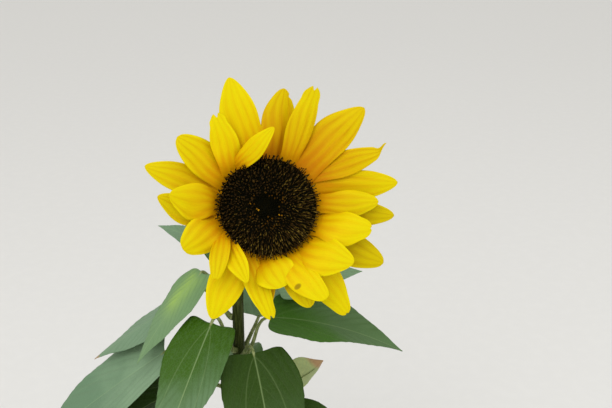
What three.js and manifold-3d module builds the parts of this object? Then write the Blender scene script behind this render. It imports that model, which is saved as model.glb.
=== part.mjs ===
// A short garden sunflower: one hairy stem cut flat at the ground, broad leaves on arching
// stalks, and one bloom that nods forward at the top. Lengths are in millimetres and angles in
// degrees. +Z is up, the bloom looks towards -Y, and the origin is at the stem's foot.

import * as THREE from "three";
import { mergeVertices } from "three/addons/utils/BufferGeometryUtils.js";
import Module from "manifold-3d";

const wasm = await Module();
wasm.setup();

// The gap between pieces that lie against each other, and how much larger a petal is made all
// round for cutting its neighbours, so that the gap holds where the two lie at a slant too.
const CLEARANCE = 0.3;
const CUTTING_MARGIN = 0.5;
const CUT_TOLERANCE = 0.01;
const WELD_TOLERANCE = 1e-4;
const HALVING_LIMIT = 1e-6;

// The bloom: its place is the middle of the seed disc's rim, and it faces a little to the right.
const BLOOM = {
  place: new THREE.Vector3(23, -35, 400),
  facing: new THREE.Vector3(0.09, -0.92, 0.385).normalize(),
  cupDepth: 23,
  rootRadius: 29.9,
  discSides: 32,
  cupSides: 28,
};

// The seed disc's profile: radius from its axis, and height towards the viewer.
const DISC_PROFILE = [
  [0, -1.9],
  [29.4, -1.9],
  [29.4, 1],
  [31, 3.6],
  [30.2, 5.2],
  [26, 6.3],
  [19, 6.3],
  [12, 4.9],
  [6, 3],
  [0, 2.4],
];

// The green cup behind the disc, from the stem's end out to its rim and back over its flat top.
const CUP_PROFILE = [
  [0, -23],
  [5.6, -22.4],
  [8.5, -19.5],
  [16, -14],
  [24.5, -9.5],
  [29, -5.5],
  [29.2, -2.2],
  [0, -2.2],
];

const STEM = {
  footRadius: 5.8,
  neckRadius: 3.5,
  endRadius: 5.2,
  taperShare: 0.87,
  flare: 2.6,
  flareHeight: 14,
  headStart: 0.92,
  neckBend: 24,
  neckRise: 36,
  sides: 14,
  steps: 32,
};
const STEM_COURSE = [
  [0, 0, 0],
  [1.5, -1, 110],
  [-1, 1.5, 220],
  [0, 4, 335],
].map((point) => new THREE.Vector3(...point));

// Petals stand in two whorls. Each row: root and tip angles round the disc, counted from its
// right as seen from the front; how far the tip lies from the axis; width; rise out of the
// disc's plane at the root; change of that rise by the tip; roll about its own length; and the
// power that shapes its outline, from 0.75 for a pointed petal to 0.45 for a blunt one.
const PETAL = {
  thickness: 0.6,
  steps: 8,
  across: 4,
  clawShare: 0.5,
  tipShare: 0.02,
  widestAt: 0.92,
  bowl: -0.22,
};
const WHORLS = {
  front: {
    rootHeight: -0.6,
    petals: [
      [3, 0.5, 66, 17, 34, -34, 6, 0.6],
      [26, 24, 77, 18, 22, -24, -6, 0.7],
      [64, 67, 74.5, 16, 24, -22, 8, 0.6],
      [106, 103.8, 78, 21, 22, -20, -6, 0.7],
      [117, 88, 45, 12, 60, -46, -12, 0.7],
      [142, 140.5, 65, 20, 34, -30, 6, 0.55],
      [171, 170, 56, 17, 48, -44, -8, 0.65],
      [199, 206.5, 56.5, 20, 44, -48, -8, 0.45],
      [206, 230.5, 50.5, 12, 58, -52, 10, 0.6],
      [221, 252.5, 44, 9, 62, -52, 30, 0.6],
      [266, 273, 50, 20, 58, -56, -4, 0.5],
      [291, 302, 60.5, 20, 54, -52, 6, 0.5],
      [309, 325.5, 56.5, 20, 58, -56, 4, 0.65],
      [339, 346, 60, 20, 48, -48, -4, 0.6],
    ],
  },
  back: {
    rootHeight: -3,
    petals: [
      [12, 8.7, 78, 18, 12, -14, 5, 0.65],
      [45, 43.4, 81, 22, 12, -12, -5, 0.7],
      [83, 80.4, 69, 20, 12, -8, 4, 0.6],
      [121, 116, 62, 18, 16, -8, 10, 0.6],
      [159, 159.5, 74, 18, 16, -16, 4, 0.7],
      [190, 171.8, 64, 20, 20, -14, -8, 0.75],
      [236, 242.5, 73, 21, 14, -22, 4, 0.7],
      [241, 270.5, 67, 12, 26, -30, -8, 0.6],
      [262, 267, 60, 13, 14, -16, 0, 0.6],
      [287, 289.5, 63, 18, 26, -34, 5, 0.6],
      [308, 304.5, 79.5, 19, 8, -20, -4, 0.6],
      [327, 332, 76, 20, 12, -18, 4, 0.55],
      [354, 354.1, 75, 17, 10, -14, 6, 0.65],
    ],
  },
};

// The bracts that back the petals, in two rows on the outside of the cup.
const BRACT = {
  thickness: 0.8,
  steps: 5,
  across: 2,
  clawShare: 0.75,
  tipShare: 0.02,
  widestAt: 0.8,
  power: 1,
  bowl: 0.25,
};
const BRACT_ROWS = [
  { count: 12, turn: 0, rootRadius: 26.5, rootHeight: -8.4, length: 27, width: 12, lift: 30, arch: -42 },
  { count: 10, turn: 18, rootRadius: 19.5, rootHeight: -12.4, length: 31, width: 13, lift: 26, arch: -66 },
];

// Leaves, from the top of the stem down. Each row: name; height of its node on the stem; the
// stalk's azimuth counted from +X, how far out it reaches and how far up; the blade's heading,
// pitch, drop of that pitch by the tip, turn in plan and roll; its length, width and keel.
const LEAF = {
  thicknessShare: 0.0105,
  steps: 10,
  stationPower: 1.35,
  across: 4,
  widestAt: 0.58,
  power: 0.88,
  tipDraw: 0.35,
  lobe: 0.13,
  lobeReach: 0.16,
  lobeStart: 0.08,
  baseShare: 0.07,
  tipShare: 0.015,
};
const STALK = {
  rootRadius: 1.7,
  endRadius: 1.15,
  rise: 52,
  leaving: 0.4,
  arriving: 0.35,
  sides: 6,
  steps: 7,
  overrun: 7,
};
const LEAVES = [
  ["top_left", 338, 152, 21, 13, 150, 16, 14, 0, -12, 44, 24, 6],
  ["top_right", 334, 25, 28, 9, 18, -4, 22, -8, -4, 62, 28, 8],
  ["high_left", 323, 188, 26, 12, 196, -46, 13, 7, -15, 87, 32, -6],
  ["high_left_behind", 305, 175, 28, 19, 167, -38, 5, 5, -16, 104, 41, -11],
  ["high_back", 302, 98, 26, 26, 98, 10, 52, 0, 0, 88, 46, 22],
  ["mid_left", 258, -173, 49.5, 24, -180, -37, 4, 10, -17, 138, 62, 6],
  ["mid_front_left", 282, -123, 27, 32, -123, -46, 12, -4, 2, 108, 43, 6],
  ["mid_front", 277, -65, 28, 16, -72, -44, 16, -4, 0, 100, 54, 8],
  ["mid_right", 278, -13, 23, 29, -12, 6, 32, 0, 12, 90, 48, 14],
  ["mid_back", 279, 49, 20, 18, 74, 22, 46, 0, 0, 80, 45, 15],
  ["low_right", 243, 8, 22, 6, 4, 6, -40, 0, -70, 42, 26, 10],
  ["low_right_front", 225, -40, 34, 15, -26, -10, 50, 0, 0, 92, 56, 16],
  ["low_left", 246, 180, 34, 4, -160, -6, 50, 10, 0, 102, 60, 16],
  ["low_front", 186, -94, 34, 27, -94, -8, 54, 6, 0, 112, 68, 16],
  ["low_back", 203, 108, 34, 32, 108, 4, 60, -6, 0, 112, 68, 16],
  ["base_right", 158, 12, 38, 30, 12, 4, 62, 8, 0, 116, 72, 16],
  ["base_left", 156, 196, 38, 32, 196, 0, 60, -6, 0, 114, 72, 16],
  ["foot_front", 104, -100, 32, 24, -100, 6, 66, -8, 0, 88, 56, 18],
  ["foot_back", 102, 70, 34, 26, 70, 4, 66, 10, 0, 90, 58, 18],
];

const COLOURS = {
  stem: { color: 0x3f5220, roughness: 0.75 },
  leaf: { color: 0x3d6b2c, roughness: 0.6 },
  cup: { color: 0x56803a, roughness: 0.7 },
  disc: { color: 0x1f140c, roughness: 0.85 },
  petal: { color: 0xf0c400, roughness: 0.5 },
};

const radians = THREE.MathUtils.degToRad;
const lerp = THREE.MathUtils.lerp;

// A closed geometry as a solid that can be joined and cut.
function toSolid(geometry) {
  const bare = new THREE.BufferGeometry();
  bare.setAttribute("position", geometry.getAttribute("position"));
  bare.setIndex(geometry.index);
  const merged = mergeVertices(bare, WELD_TOLERANCE);
  return new wasm.Manifold(
    new wasm.Mesh({
      numProp: 3,
      vertProperties: merged.attributes.position.array,
      triVerts: new Uint32Array(merged.index.array),
    }),
  );
}

// The largest body of a solid, as a geometry: scraps that a cut leaves loose are dropped, and
// so are edges shorter than the cut's own tolerance.
function toGeometry(solid) {
  const bodies = solid.decompose().sort((a, b) => b.volume() - a.volume());
  const mesh = bodies[0].simplify(CUT_TOLERANCE).getMesh();
  const geometry = new THREE.BufferGeometry();
  geometry.setAttribute("position", new THREE.BufferAttribute(mesh.vertProperties, 3));
  geometry.setIndex(new THREE.BufferAttribute(mesh.triVerts, 1));
  geometry.computeVertexNormals();
  return geometry;
}

// Moves each vertex of a geometry to the point that place gives for it.
function reshape(geometry, place) {
  const position = geometry.getAttribute("position");
  const vertex = new THREE.Vector3();
  for (let i = 0; i < position.count; i++) {
    const moved = place(vertex.fromBufferAttribute(position, i));
    position.setXYZ(i, moved.x, moved.y, moved.z);
  }
  return geometry;
}

// A level direction raised by an angle.
function tilted(level, rise) {
  return level
    .clone()
    .multiplyScalar(Math.cos(radians(rise)))
    .setZ(Math.sin(radians(rise)));
}

// A line that starts at a point, and turns and pitches evenly as it goes. Each station holds
// its point, and the directions along it, across it and up from it.
function course({ start, heading, pitch, length, turn = 0, drop = 0, roll = 0, steps, power = 1 }) {
  const stations = [];
  const point = start.clone();
  let last = 0;
  for (let i = 0; i <= steps; i++) {
    const s = (i / steps) ** power;
    const bearing = radians(heading + turn * (s - 0.5));
    const level = new THREE.Vector3(Math.cos(bearing), Math.sin(bearing), 0);
    const along = tilted(level, pitch - drop * s);
    point.addScaledVector(along, (s - last) * length);
    last = s;
    const across = new THREE.Vector3(-level.y, level.x, 0).applyAxisAngle(along, radians(roll));
    const up = new THREE.Vector3().crossVectors(along, across);
    stations.push({ s, point: point.clone(), along, across, up });
  }
  return stations;
}

// A thin blade along a course: a box whose length, width and thickness follow the stations.
function blade(stations, across, halfWidthAt, { thickness, bowl = 0, keel = 0, setback = () => 0 }) {
  const steps = stations.length - 1;
  const box = new THREE.BoxGeometry(1, 2, 2, steps, across, 1);
  return reshape(box, ({ x, y, z }) => {
    const station = stations[Math.round((x + 0.5) * steps)];
    const half = halfWidthAt(station.s);
    const lifted = half * (bowl * y * y + keel * Math.abs(y));
    return station.point
      .clone()
      .addScaledVector(station.across, half * y)
      .addScaledVector(station.up, lifted + (z * thickness) / 2)
      .addScaledVector(station.along, -setback(station.s, y));
  });
}

// A round limb along a course, capped at both ends.
function limb(stations, sides, radiusAt) {
  const steps = stations.length - 1;
  const cylinder = new THREE.CylinderGeometry(1, 1, 1, sides, steps);
  return reshape(cylinder, ({ x, y, z }) => {
    const s = y + 0.5;
    const { point, across, up } = stations[Math.round(s * steps)];
    const radius = radiusAt(s);
    return point
      .clone()
      .addScaledVector(across, radius * x)
      .addScaledVector(up, -radius * z);
  });
}

// A petal's or bract's outline: a narrow claw that swells to full width and closes at the tip.
function petalOutline(width, { clawShare, tipShare, widestAt, power }) {
  return (s) => {
    const swell = Math.max(Math.sin(Math.PI * s ** widestAt), 0) ** power;
    return (width / 2) * Math.max(clawShare * (1 - s), swell, tipShare);
  };
}

// The average of the cosine while an angle goes evenly from one value to another.
function meanCosine(from, to) {
  const span = radians(to - from);
  return (Math.sin(radians(to)) - Math.sin(radians(from))) / span;
}

// A petal, in the bloom's own frame: +X right, +Y up and +Z out of the disc. Grown makes it
// larger all round, to cut its neighbours clear.
function petal([root, tip, reach, width, lift, arch, roll, power], rootHeight, grown = 0) {
  const onRing = (angle, radius) =>
    new THREE.Vector3(radius * Math.cos(radians(angle)), radius * Math.sin(radians(angle)), rootHeight);
  const start = onRing(root, BLOOM.rootRadius);
  const chord = onRing(tip, reach).sub(start);
  const stations = course({
    start,
    heading: THREE.MathUtils.radToDeg(Math.atan2(chord.y, chord.x)),
    pitch: lift,
    drop: -arch,
    roll,
    length: chord.length() / meanCosine(lift, lift + arch),
    steps: PETAL.steps,
  });
  stations[0].point.addScaledVector(stations[0].along, -grown);
  stations[PETAL.steps].point.addScaledVector(stations[PETAL.steps].along, grown);
  const outline = petalOutline(width + 2 * grown, { ...PETAL, power });
  return blade(stations, PETAL.across, outline, {
    thickness: PETAL.thickness + 2 * grown,
    bowl: PETAL.bowl,
  });
}

// Every petal, each cut clear of those made before it.
function petals() {
  const made = [];
  for (const [whorl, { rootHeight, petals: rows }] of Object.entries(WHORLS)) {
    rows.forEach((row, i) => {
      let solid = toSolid(petal(row, rootHeight));
      for (const other of made) solid = solid.subtract(other.grown);
      made.push({
        name: `petal_${whorl}_${String(i + 1).padStart(2, "0")}`,
        grown: toSolid(petal(row, rootHeight, CUTTING_MARGIN)),
        solid,
      });
    });
  }
  return made;
}

// A profile turned about +Z, which stands for the bloom's axis.
function turned(profile, sides) {
  const lathe = new THREE.LatheGeometry(
    profile.map(([radius, height]) => new THREE.Vector2(radius, height)),
    sides,
  );
  return lathe.rotateX(Math.PI / 2);
}

function bract({ rootRadius, rootHeight, length, width, lift, arch }, angle) {
  const start = new THREE.Vector3(rootRadius, 0, rootHeight);
  start.applyAxisAngle(new THREE.Vector3(0, 0, 1), radians(angle));
  const stations = course({ start, heading: angle, pitch: lift, drop: -arch, length, steps: BRACT.steps });
  return blade(stations, BRACT.across, petalOutline(width, BRACT), {
    thickness: BRACT.thickness,
    bowl: BRACT.bowl,
  });
}

// A solid of the bloom with room cut into it for the petals.
function clearOfPetals(solid, petalsMade) {
  return petalsMade.reduce((rest, { grown }) => rest.subtract(grown), solid);
}

// The cup with its bracts grown on, in rows on its outside.
function cup() {
  let solid = toSolid(turned(CUP_PROFILE, BLOOM.cupSides));
  for (const row of BRACT_ROWS)
    for (let i = 0; i < row.count; i++)
      solid = solid.add(toSolid(bract(row, row.turn + (i * 360) / row.count)));
  return solid;
}

// The stem's centre line: up its course, then over the neck to meet the cup square on.
function stemLine() {
  const end = BLOOM.place.clone().addScaledVector(BLOOM.facing, -(BLOOM.cupDepth + CLEARANCE));
  const foot = STEM_COURSE[STEM_COURSE.length - 1];
  const line = new THREE.CurvePath();
  line.add(new THREE.CatmullRomCurve3(STEM_COURSE));
  line.add(
    new THREE.CubicBezierCurve3(
      foot,
      foot.clone().add(new THREE.Vector3(0, 1, STEM.neckRise)),
      end.clone().addScaledVector(BLOOM.facing, -STEM.neckBend),
      end,
    ),
  );
  return line;
}

function stemRadius(s, length) {
  const taper = lerp(STEM.footRadius, STEM.neckRadius, Math.min(s / STEM.taperShare, 1));
  const flare = STEM.flare * Math.exp((-s * length) / STEM.flareHeight);
  const head = (STEM.endRadius - STEM.neckRadius) * THREE.MathUtils.smoothstep(s, STEM.headStart, 1);
  return taper + flare + head;
}

// The stem as a limb whose foot is cut level with the ground.
function stem(line) {
  const length = line.getLength();
  const frames = line.computeFrenetFrames(STEM.steps);
  const stations = line.getSpacedPoints(STEM.steps).map((point, i) => ({
    point,
    across: frames.normals[i],
    up: frames.binormals[i],
  }));
  const foot = stations[0];
  foot.across = foot.across.clone().setZ(0).normalize();
  foot.up = new THREE.Vector3(0, 0, 1).cross(foot.across);
  return limb(stations, STEM.sides, (s) => stemRadius(s, length));
}

// The stem's centre and radius at a height, found by halving.
function stemAt(line, height) {
  let low = 0;
  let high = 1;
  while (high - low > HALVING_LIMIT) {
    const middle = (low + high) / 2;
    if (line.getPointAt(middle).z < height) low = middle;
    else high = middle;
  }
  return { centre: line.getPointAt(low), radius: stemRadius(low, line.getLength()) };
}

// A leaf's outline: broad low down, drawn out to a point.
function leafOutline(width) {
  return (s) => {
    const swell = Math.max(Math.sin(Math.PI * s ** LEAF.widestAt), 0) ** LEAF.power;
    const drawn = swell * (1 - LEAF.tipDraw * s ** 3);
    return (width / 2) * Math.max(drawn, LEAF.baseShare * (1 - s), LEAF.tipShare);
  };
}

// A leaf's stalk: it leaves the stem at a node and arches over to run on into the blade.
function stalkStations(start, outward, joint) {
  const leaving = tilted(outward, STALK.rise);
  const span = start.distanceTo(joint.point);
  const arch = new THREE.CubicBezierCurve3(
    start,
    start.clone().addScaledVector(leaving, span * STALK.leaving),
    joint.point.clone().addScaledVector(joint.along, -span * STALK.arriving),
    joint.point,
  );
  const frames = arch.computeFrenetFrames(STALK.steps);
  const stations = arch.getSpacedPoints(STALK.steps).map((point, i) => ({
    point,
    across: frames.normals[i],
    up: frames.binormals[i],
  }));
  stations[STALK.steps].point.addScaledVector(joint.along, STALK.overrun);
  return stations;
}

function leaf(line, row) {
  const [, height, azimuth, out, up, heading, pitch, drop, turn, roll, length, width, keel] = row;
  const { centre, radius } = stemAt(line, height);
  const outward = new THREE.Vector3(Math.cos(radians(azimuth)), Math.sin(radians(azimuth)), 0);
  const toStem = radius + STALK.rootRadius * Math.sin(radians(STALK.rise)) + CLEARANCE;
  const start = centre.clone().addScaledVector(outward, toStem);
  const joint = centre.clone().addScaledVector(outward, out);
  joint.z += up;
  const stations = course({
    start: joint,
    heading,
    pitch,
    drop,
    turn,
    roll,
    length,
    steps: LEAF.steps,
    power: LEAF.stationPower,
  });
  const setback = (s, y) =>
    length * LEAF.lobe * y * y * Math.exp(-s / LEAF.lobeReach) * Math.min(1, s / LEAF.lobeStart);
  const plate = blade(stations, LEAF.across, leafOutline(width), {
    thickness: length * LEAF.thicknessShare,
    keel: Math.tan(radians(keel)),
    setback,
  });
  const stalk = limb(stalkStations(start, outward, stations[0]), STALK.sides, (s) =>
    lerp(STALK.rootRadius, STALK.endRadius, s),
  );
  return toSolid(plate).add(toSolid(stalk));
}

function node(name, geometry, look) {
  const mesh = new THREE.Mesh(
    geometry,
    new THREE.MeshStandardMaterial({ ...COLOURS[look], metalness: 0 }),
  );
  mesh.name = name;
  return mesh;
}

// The bloom as a group in its own frame, turned to look ahead and a little up.
function bloom() {
  const petalsMade = petals();
  const group = new THREE.Group();
  const right = new THREE.Vector3(0, 0, 1).cross(BLOOM.facing).normalize();
  const up = new THREE.Vector3().crossVectors(BLOOM.facing, right);
  group.applyMatrix4(new THREE.Matrix4().makeBasis(right, up, BLOOM.facing));
  group.position.copy(BLOOM.place);
  const disc = toSolid(turned(DISC_PROFILE, BLOOM.discSides));
  group.add(node("seed_disc", toGeometry(clearOfPetals(disc, petalsMade)), "disc"));
  group.add(node("bract_cup", toGeometry(clearOfPetals(cup(), petalsMade)), "cup"));
  for (const { name, solid } of petalsMade) group.add(node(name, toGeometry(solid), "petal"));
  return group;
}

function plant() {
  const group = new THREE.Group();
  const line = stemLine();
  group.add(node("stem", stem(line), "stem"));
  for (const row of LEAVES) group.add(node(`leaf_${row[0]}`, toGeometry(leaf(line, row)), "leaf"));
  group.add(bloom());
  return group;
}

export default plant();
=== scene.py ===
"""The looks of a short garden sunflower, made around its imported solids.

Lengths are in millimetres and angles in degrees. A mesh is brought to metres when it becomes a
piece. +Z is up, the bloom looks towards -Y, and the origin is at the stem's foot.
"""

import logging
import math
import random
from collections.abc import Callable, Iterable
from dataclasses import dataclass, field, replace
from enum import Enum

import bmesh
import bpy
import numpy as np
from mathutils import Matrix, Quaternion, Vector


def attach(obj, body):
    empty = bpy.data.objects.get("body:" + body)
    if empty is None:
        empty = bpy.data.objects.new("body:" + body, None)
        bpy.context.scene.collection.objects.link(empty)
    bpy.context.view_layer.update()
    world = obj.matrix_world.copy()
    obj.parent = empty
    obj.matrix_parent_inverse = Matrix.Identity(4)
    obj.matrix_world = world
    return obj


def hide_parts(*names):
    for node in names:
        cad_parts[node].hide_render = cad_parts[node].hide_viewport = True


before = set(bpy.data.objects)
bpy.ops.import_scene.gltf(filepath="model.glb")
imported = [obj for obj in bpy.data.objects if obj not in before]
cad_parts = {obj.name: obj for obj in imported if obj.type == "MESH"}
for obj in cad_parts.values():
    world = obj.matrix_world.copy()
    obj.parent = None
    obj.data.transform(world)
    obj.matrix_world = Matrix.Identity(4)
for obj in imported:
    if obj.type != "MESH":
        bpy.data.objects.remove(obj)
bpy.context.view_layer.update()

log = logging.getLogger("sunflower")

METRES = 0.001
SEED = 20
WELD = 1e-4
UP = Vector((0, 0, 1))
PLAN = "plan"
MIX_COLOURS = (6, 7)
MIX_RESULT = 2

Colour = tuple[float, float, float]
Tint = Colour | bpy.types.NodeSocket


def lerp(a: float, b: float, share: float) -> float:
    """The value that lies a share of the way from a to b."""
    return a + (b - a) * share


def level(azimuth: float) -> Vector:
    """The level direction at an azimuth counted from +X."""
    return Vector((math.cos(math.radians(azimuth)), math.sin(math.radians(azimuth)), 0))


def tilted(direction: Vector, rise: float) -> Vector:
    """A level direction raised by an angle."""
    return direction * math.cos(math.radians(rise)) + UP * math.sin(math.radians(rise))


# Arithmetic that works alike on plain numbers and on values that vary over a surface


def operators(operation: str) -> tuple[Callable, Callable]:
    """An operator of Value and its reflected form, which add one kind of Math node."""

    def plain(self: "Value", other: "Number") -> "Value":
        """The result with the other operand on the right."""
        return self.math(operation, self, other)

    def reflected(self: "Value", other: "Number") -> "Value":
        """The result with the other operand on the left, as in 1 - mask."""
        return self.math(operation, other, self)

    return plain, reflected


class Value:
    """A number that varies over a surface: a shader socket whose arithmetic adds Math nodes."""

    def __init__(self, paint: "Paint", socket: bpy.types.NodeSocket) -> None:
        """Wraps an output socket of a material's tree."""
        self.paint = paint
        self.socket = socket

    def math(self, operation: str, *operands: "Number") -> "Value":
        """Adds a Math node.

        Args:
            operation: what the node does, as it names it.
            operands: the node's inputs in order.

        Returns:
            The node's result.
        """
        node = self.paint.add("ShaderNodeMath", {"operation": operation}, dict(enumerate(operands)))
        return Value(self.paint, node.outputs[0])

    __add__, __radd__ = operators("ADD")
    __sub__, __rsub__ = operators("SUBTRACT")
    __mul__, __rmul__ = operators("MULTIPLY")
    __truediv__, __rtruediv__ = operators("DIVIDE")
    __pow__, __rpow__ = operators("POWER")
    __mod__, __rmod__ = operators("FLOORED_MODULO")

    def __neg__(self) -> "Value":
        """The value with its sign turned."""
        return self * -1.0

    def __abs__(self) -> "Value":
        """The size of the value."""
        return self.math("ABSOLUTE", self)


Number = float | Value


def sine(x: Number) -> Number:
    """The sine of an angle in radians."""
    return x.math("SINE", x) if isinstance(x, Value) else math.sin(x)


def clamp(x: Number, low: float = 0.0, high: float = 1.0) -> Number:
    """The value, kept between two limits."""
    if isinstance(x, Value):
        return x.math("MINIMUM", x.math("MAXIMUM", x, low), high)
    return min(max(x, low), high)


def smooth(x: Number, start: float, end: float) -> Number:
    """A soft step from 0 at start to 1 at end."""
    share = clamp((x - start) / (end - start))
    return share * share * (3 - 2 * share)


def ridge(distance: Number, width: Number) -> Number:
    """A soft ridge: 1 where the distance is nothing, falling away over the width."""
    return math.e ** (-((distance / width) ** 2))


def shade(colour: Colour, factor: float) -> Colour:
    """A colour made darker or lighter by a factor."""
    return tuple(factor * part for part in colour)


class Paint:
    """One material, and the methods that add its nodes."""

    def __init__(self, name: str) -> None:
        """Starts a material with an empty tree."""
        self.material = bpy.data.materials.new(name)
        self.material.use_nodes = True
        self.tree = self.material.node_tree
        self.tree.nodes.clear()

    def add(self, kind: str, settings: dict, inputs: dict) -> bpy.types.Node:
        """Adds a node.

        Args:
            kind: the node's type.
            settings: its own settings, which are set first.
            inputs: socket names or numbers, and the value or link of each.

        Returns:
            The node.
        """
        node = self.tree.nodes.new(kind)
        for name, value in settings.items():
            setattr(node, name, value)
        for key, value in inputs.items():
            if isinstance(value, Value):
                value = value.socket
            socket = node.inputs[key]
            if isinstance(value, bpy.types.NodeSocket):
                self.tree.links.new(value, socket)
            elif isinstance(value, tuple) and len(value) == 3 and socket.type == "RGBA":
                socket.default_value = (*value, 1.0)
            else:
                socket.default_value = value
        return node

    def place(self) -> bpy.types.NodeSocket:
        """Where a point lies on the object, in metres."""
        return self.add("ShaderNodeTexCoord", {}, {}).outputs["Object"]

    def plan(self) -> tuple[Value, Value]:
        """Where a point lies on its own blade: share of its length, and -1 to 1 across it."""
        uv = self.add("ShaderNodeUVMap", {"uv_map": PLAN}, {})
        parts = self.add("ShaderNodeSeparateXYZ", {}, {0: uv.outputs[0]})
        return Value(self, parts.outputs[0]), Value(self, parts.outputs[1]) * 2.0 - 1.0

    def flat(self, x: Number, y: Number) -> bpy.types.NodeSocket:
        """Two values as a vector."""
        return self.add("ShaderNodeCombineXYZ", {}, {0: x, 1: y}).outputs[0]

    def stretched(self, vector: bpy.types.NodeSocket, scale: tuple) -> bpy.types.NodeSocket:
        """A vector with each of its parts scaled."""
        return self.add("ShaderNodeMapping", {}, {"Vector": vector, "Scale": scale}).outputs[0]

    def noise(self, vector: bpy.types.NodeSocket, scale: float, detail: float) -> Value:
        """Soft cloudy noise, from 0 to 1 about a half."""
        inputs = {"Vector": vector, "Scale": scale, "Detail": detail}
        return Value(self, self.add("ShaderNodeTexNoise", {}, inputs).outputs[0])

    def cells(self, vector: bpy.types.NodeSocket, scale: float, feature: str = "F1") -> Value:
        """The distance from the nearest cell's centre, or from its edge."""
        inputs = {"Vector": vector, "Scale": scale}
        node = self.add("ShaderNodeTexVoronoi", {"feature": feature}, inputs)
        return Value(self, node.outputs[0])

    def mix(self, share: Number, first: Tint, second: Tint) -> bpy.types.NodeSocket:
        """A colour between two."""
        inputs = {"Factor": share, MIX_COLOURS[0]: first, MIX_COLOURS[1]: second}
        return self.add("ShaderNodeMix", {"data_type": "RGBA"}, inputs).outputs[MIX_RESULT]

    def bump(self, height: Number, distance: float, strength: float) -> bpy.types.NodeSocket:
        """A normal that stands for fine relief.

        Args:
            height: the relief, from 0 to 1.
            distance: how high 1 stands, in millimetres.
            strength: how much of it shows.

        Returns:
            The normal.
        """
        inputs = {"Height": height, "Distance": distance * METRES, "Strength": strength}
        return self.add("ShaderNodeBump", {}, inputs).outputs[0]

    def surface(self, **inputs: object) -> bpy.types.Material:
        """Ends the material in one surface shader, whose sockets are named with underscores."""
        named = {name.replace("_", " "): value for name, value in inputs.items()}
        shader = self.add("ShaderNodeBsdfPrincipled", {}, named)
        self.add("ShaderNodeOutputMaterial", {}, {"Surface": shader.outputs[0]})
        return self.material


# Finishes


class Tone(Enum):
    """How far a petal's yellow leans to lemon, gold, orange or olive. The honey and olive tones are
    darker copies of the yellow: painted shade for petals that lie in the shade of others.
    """

    LEMON = "lemon"
    GOLD = "gold"
    HONEY = "honey_shade"
    AMBER = "amber"
    OLIVE = "olive_shade"
    BRUISED = "bruised"


@dataclass(frozen=True)
class PetalFinish:
    """A petal: golden at its root and lemon further out, with soft uneven ribs along it. The root's
    gold is partly its own colour and partly painted shade near the disc; painted shade darkens the
    grooves, and painted highlight lightens the crests and edges.

    The bruise that one petal has lies at a share of its length and at -1 to 1 across it.
    """

    tone: Tone
    root: Colour
    middle: Colour
    tip: Colour
    groove: Colour
    crest_highlight: Colour
    bruise: tuple[float, float] | None = None
    sore: Colour = (0.25, 0.15, 0.004)
    bruise_length: float = 4.8
    ribs: float = 1.9
    rib_drift: float = 5.0
    lines_per_rib: float = 4.3

    def material(self) -> bpy.types.Material:
        """Makes the finish."""
        paint = Paint(f"petal_{self.tone.value}")
        along, across = paint.plan()
        place = paint.place()
        cloud = paint.noise(place, 70, 3)
        drift = paint.noise(place, 16, 1)
        phase = across * self.ribs + drift * self.rib_drift + (cloud - 0.5) * 0.35
        broad = 0.5 + 0.5 * sine(phase * math.tau)
        fine = 0.5 + 0.5 * sine(phase * (math.tau * self.lines_per_rib))
        reach = clamp(along + (cloud - 0.5) * 0.3 - (broad - 0.5) * 0.14)
        # Golden at the root: partly the petal's own colour, partly painted shade where the petals
        # crowd near the disc.
        body = paint.mix(smooth(reach, 0.0, 0.48), self.root, self.middle)
        body = paint.mix(smooth(reach, 0.4, 0.9), body, self.tip)
        # Painted shade: the groove colour darkens the sunken pleats and, more faintly, the fine
        # ribs.
        sunk = broad**6 * clamp(cloud * 3.6 - 1.4)
        colour = paint.mix(clamp(sunk * 0.45 + fine**3 * 0.12), body, self.groove)
        # Painted highlight: the crest colour lightens the raised ribs and the edges, more so away
        # from the root.
        raised = (1 - broad) ** 2 * clamp(1.7 - cloud * 2.2)
        edge = smooth(abs(across), 0.75, 1.0)
        lit = clamp((raised * 0.22 + edge * 0.35) * smooth(along, 0.1, 0.6))
        colour = paint.mix(lit, colour, self.crest_highlight)
        if self.bruise:
            at, side = self.bruise
            off = ((along - at) * self.bruise_length) ** 2 + (across - side) ** 2
            spot = 1 - smooth(off + (cloud - 0.5) * 0.07, 0.01, 0.055)
            colour = paint.mix(spot * 0.8, colour, self.sore)
        relief = (1 - broad**4) * 0.5 + (1 - fine) * 0.15 + cloud * 0.35
        return paint.surface(
            Base_Color=colour,
            Roughness=0.5 + cloud * 0.2,
            Normal=paint.bump(relief, 0.08, 0.5),
            Specular_IOR_Level=0.05,
            Subsurface_Weight=0.1,
            Subsurface_Radius=(1.0, 0.6, 0.05),
            Subsurface_Scale=1.5 * METRES,
        )


# Each tone's colours at the root, in the middle and at the tip, in a groove and on a crest. The
# honey and olive rows are darker copies: painted shade for shaded petals.
YELLOWS = {
    Tone.LEMON: ((0.64, 0.29), (0.70, 0.50), (0.66, 0.54), (0.57, 0.34), (0.82, 0.70, 0.001)),
    Tone.GOLD: ((0.58, 0.25), (0.61, 0.40), (0.62, 0.49), (0.48, 0.26), (0.80, 0.67, 0.001)),
    Tone.HONEY: ((0.50, 0.18), (0.56, 0.32), (0.60, 0.44), (0.44, 0.19), (0.76, 0.58, 0.001)),
    Tone.AMBER: ((0.50, 0.20), (0.62, 0.33), (0.68, 0.42), (0.48, 0.22), (0.74, 0.48)),
    Tone.OLIVE: ((0.44, 0.21), (0.48, 0.33), (0.54, 0.42), (0.36, 0.23), (0.70, 0.56, 0.001)),
}
SCAR = (0.56, -0.72)


def petal_finishes() -> list[PetalFinish]:
    """The finishes of all tones; the bruised one is lemon with a bruise."""
    made = [
        PetalFinish(tone, *((*colour, 0.0)[:3] for colour in colours))
        for tone, colours in YELLOWS.items()
    ]
    return [*made, replace(made[0], tone=Tone.BRUISED, bruise=SCAR)]


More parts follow.
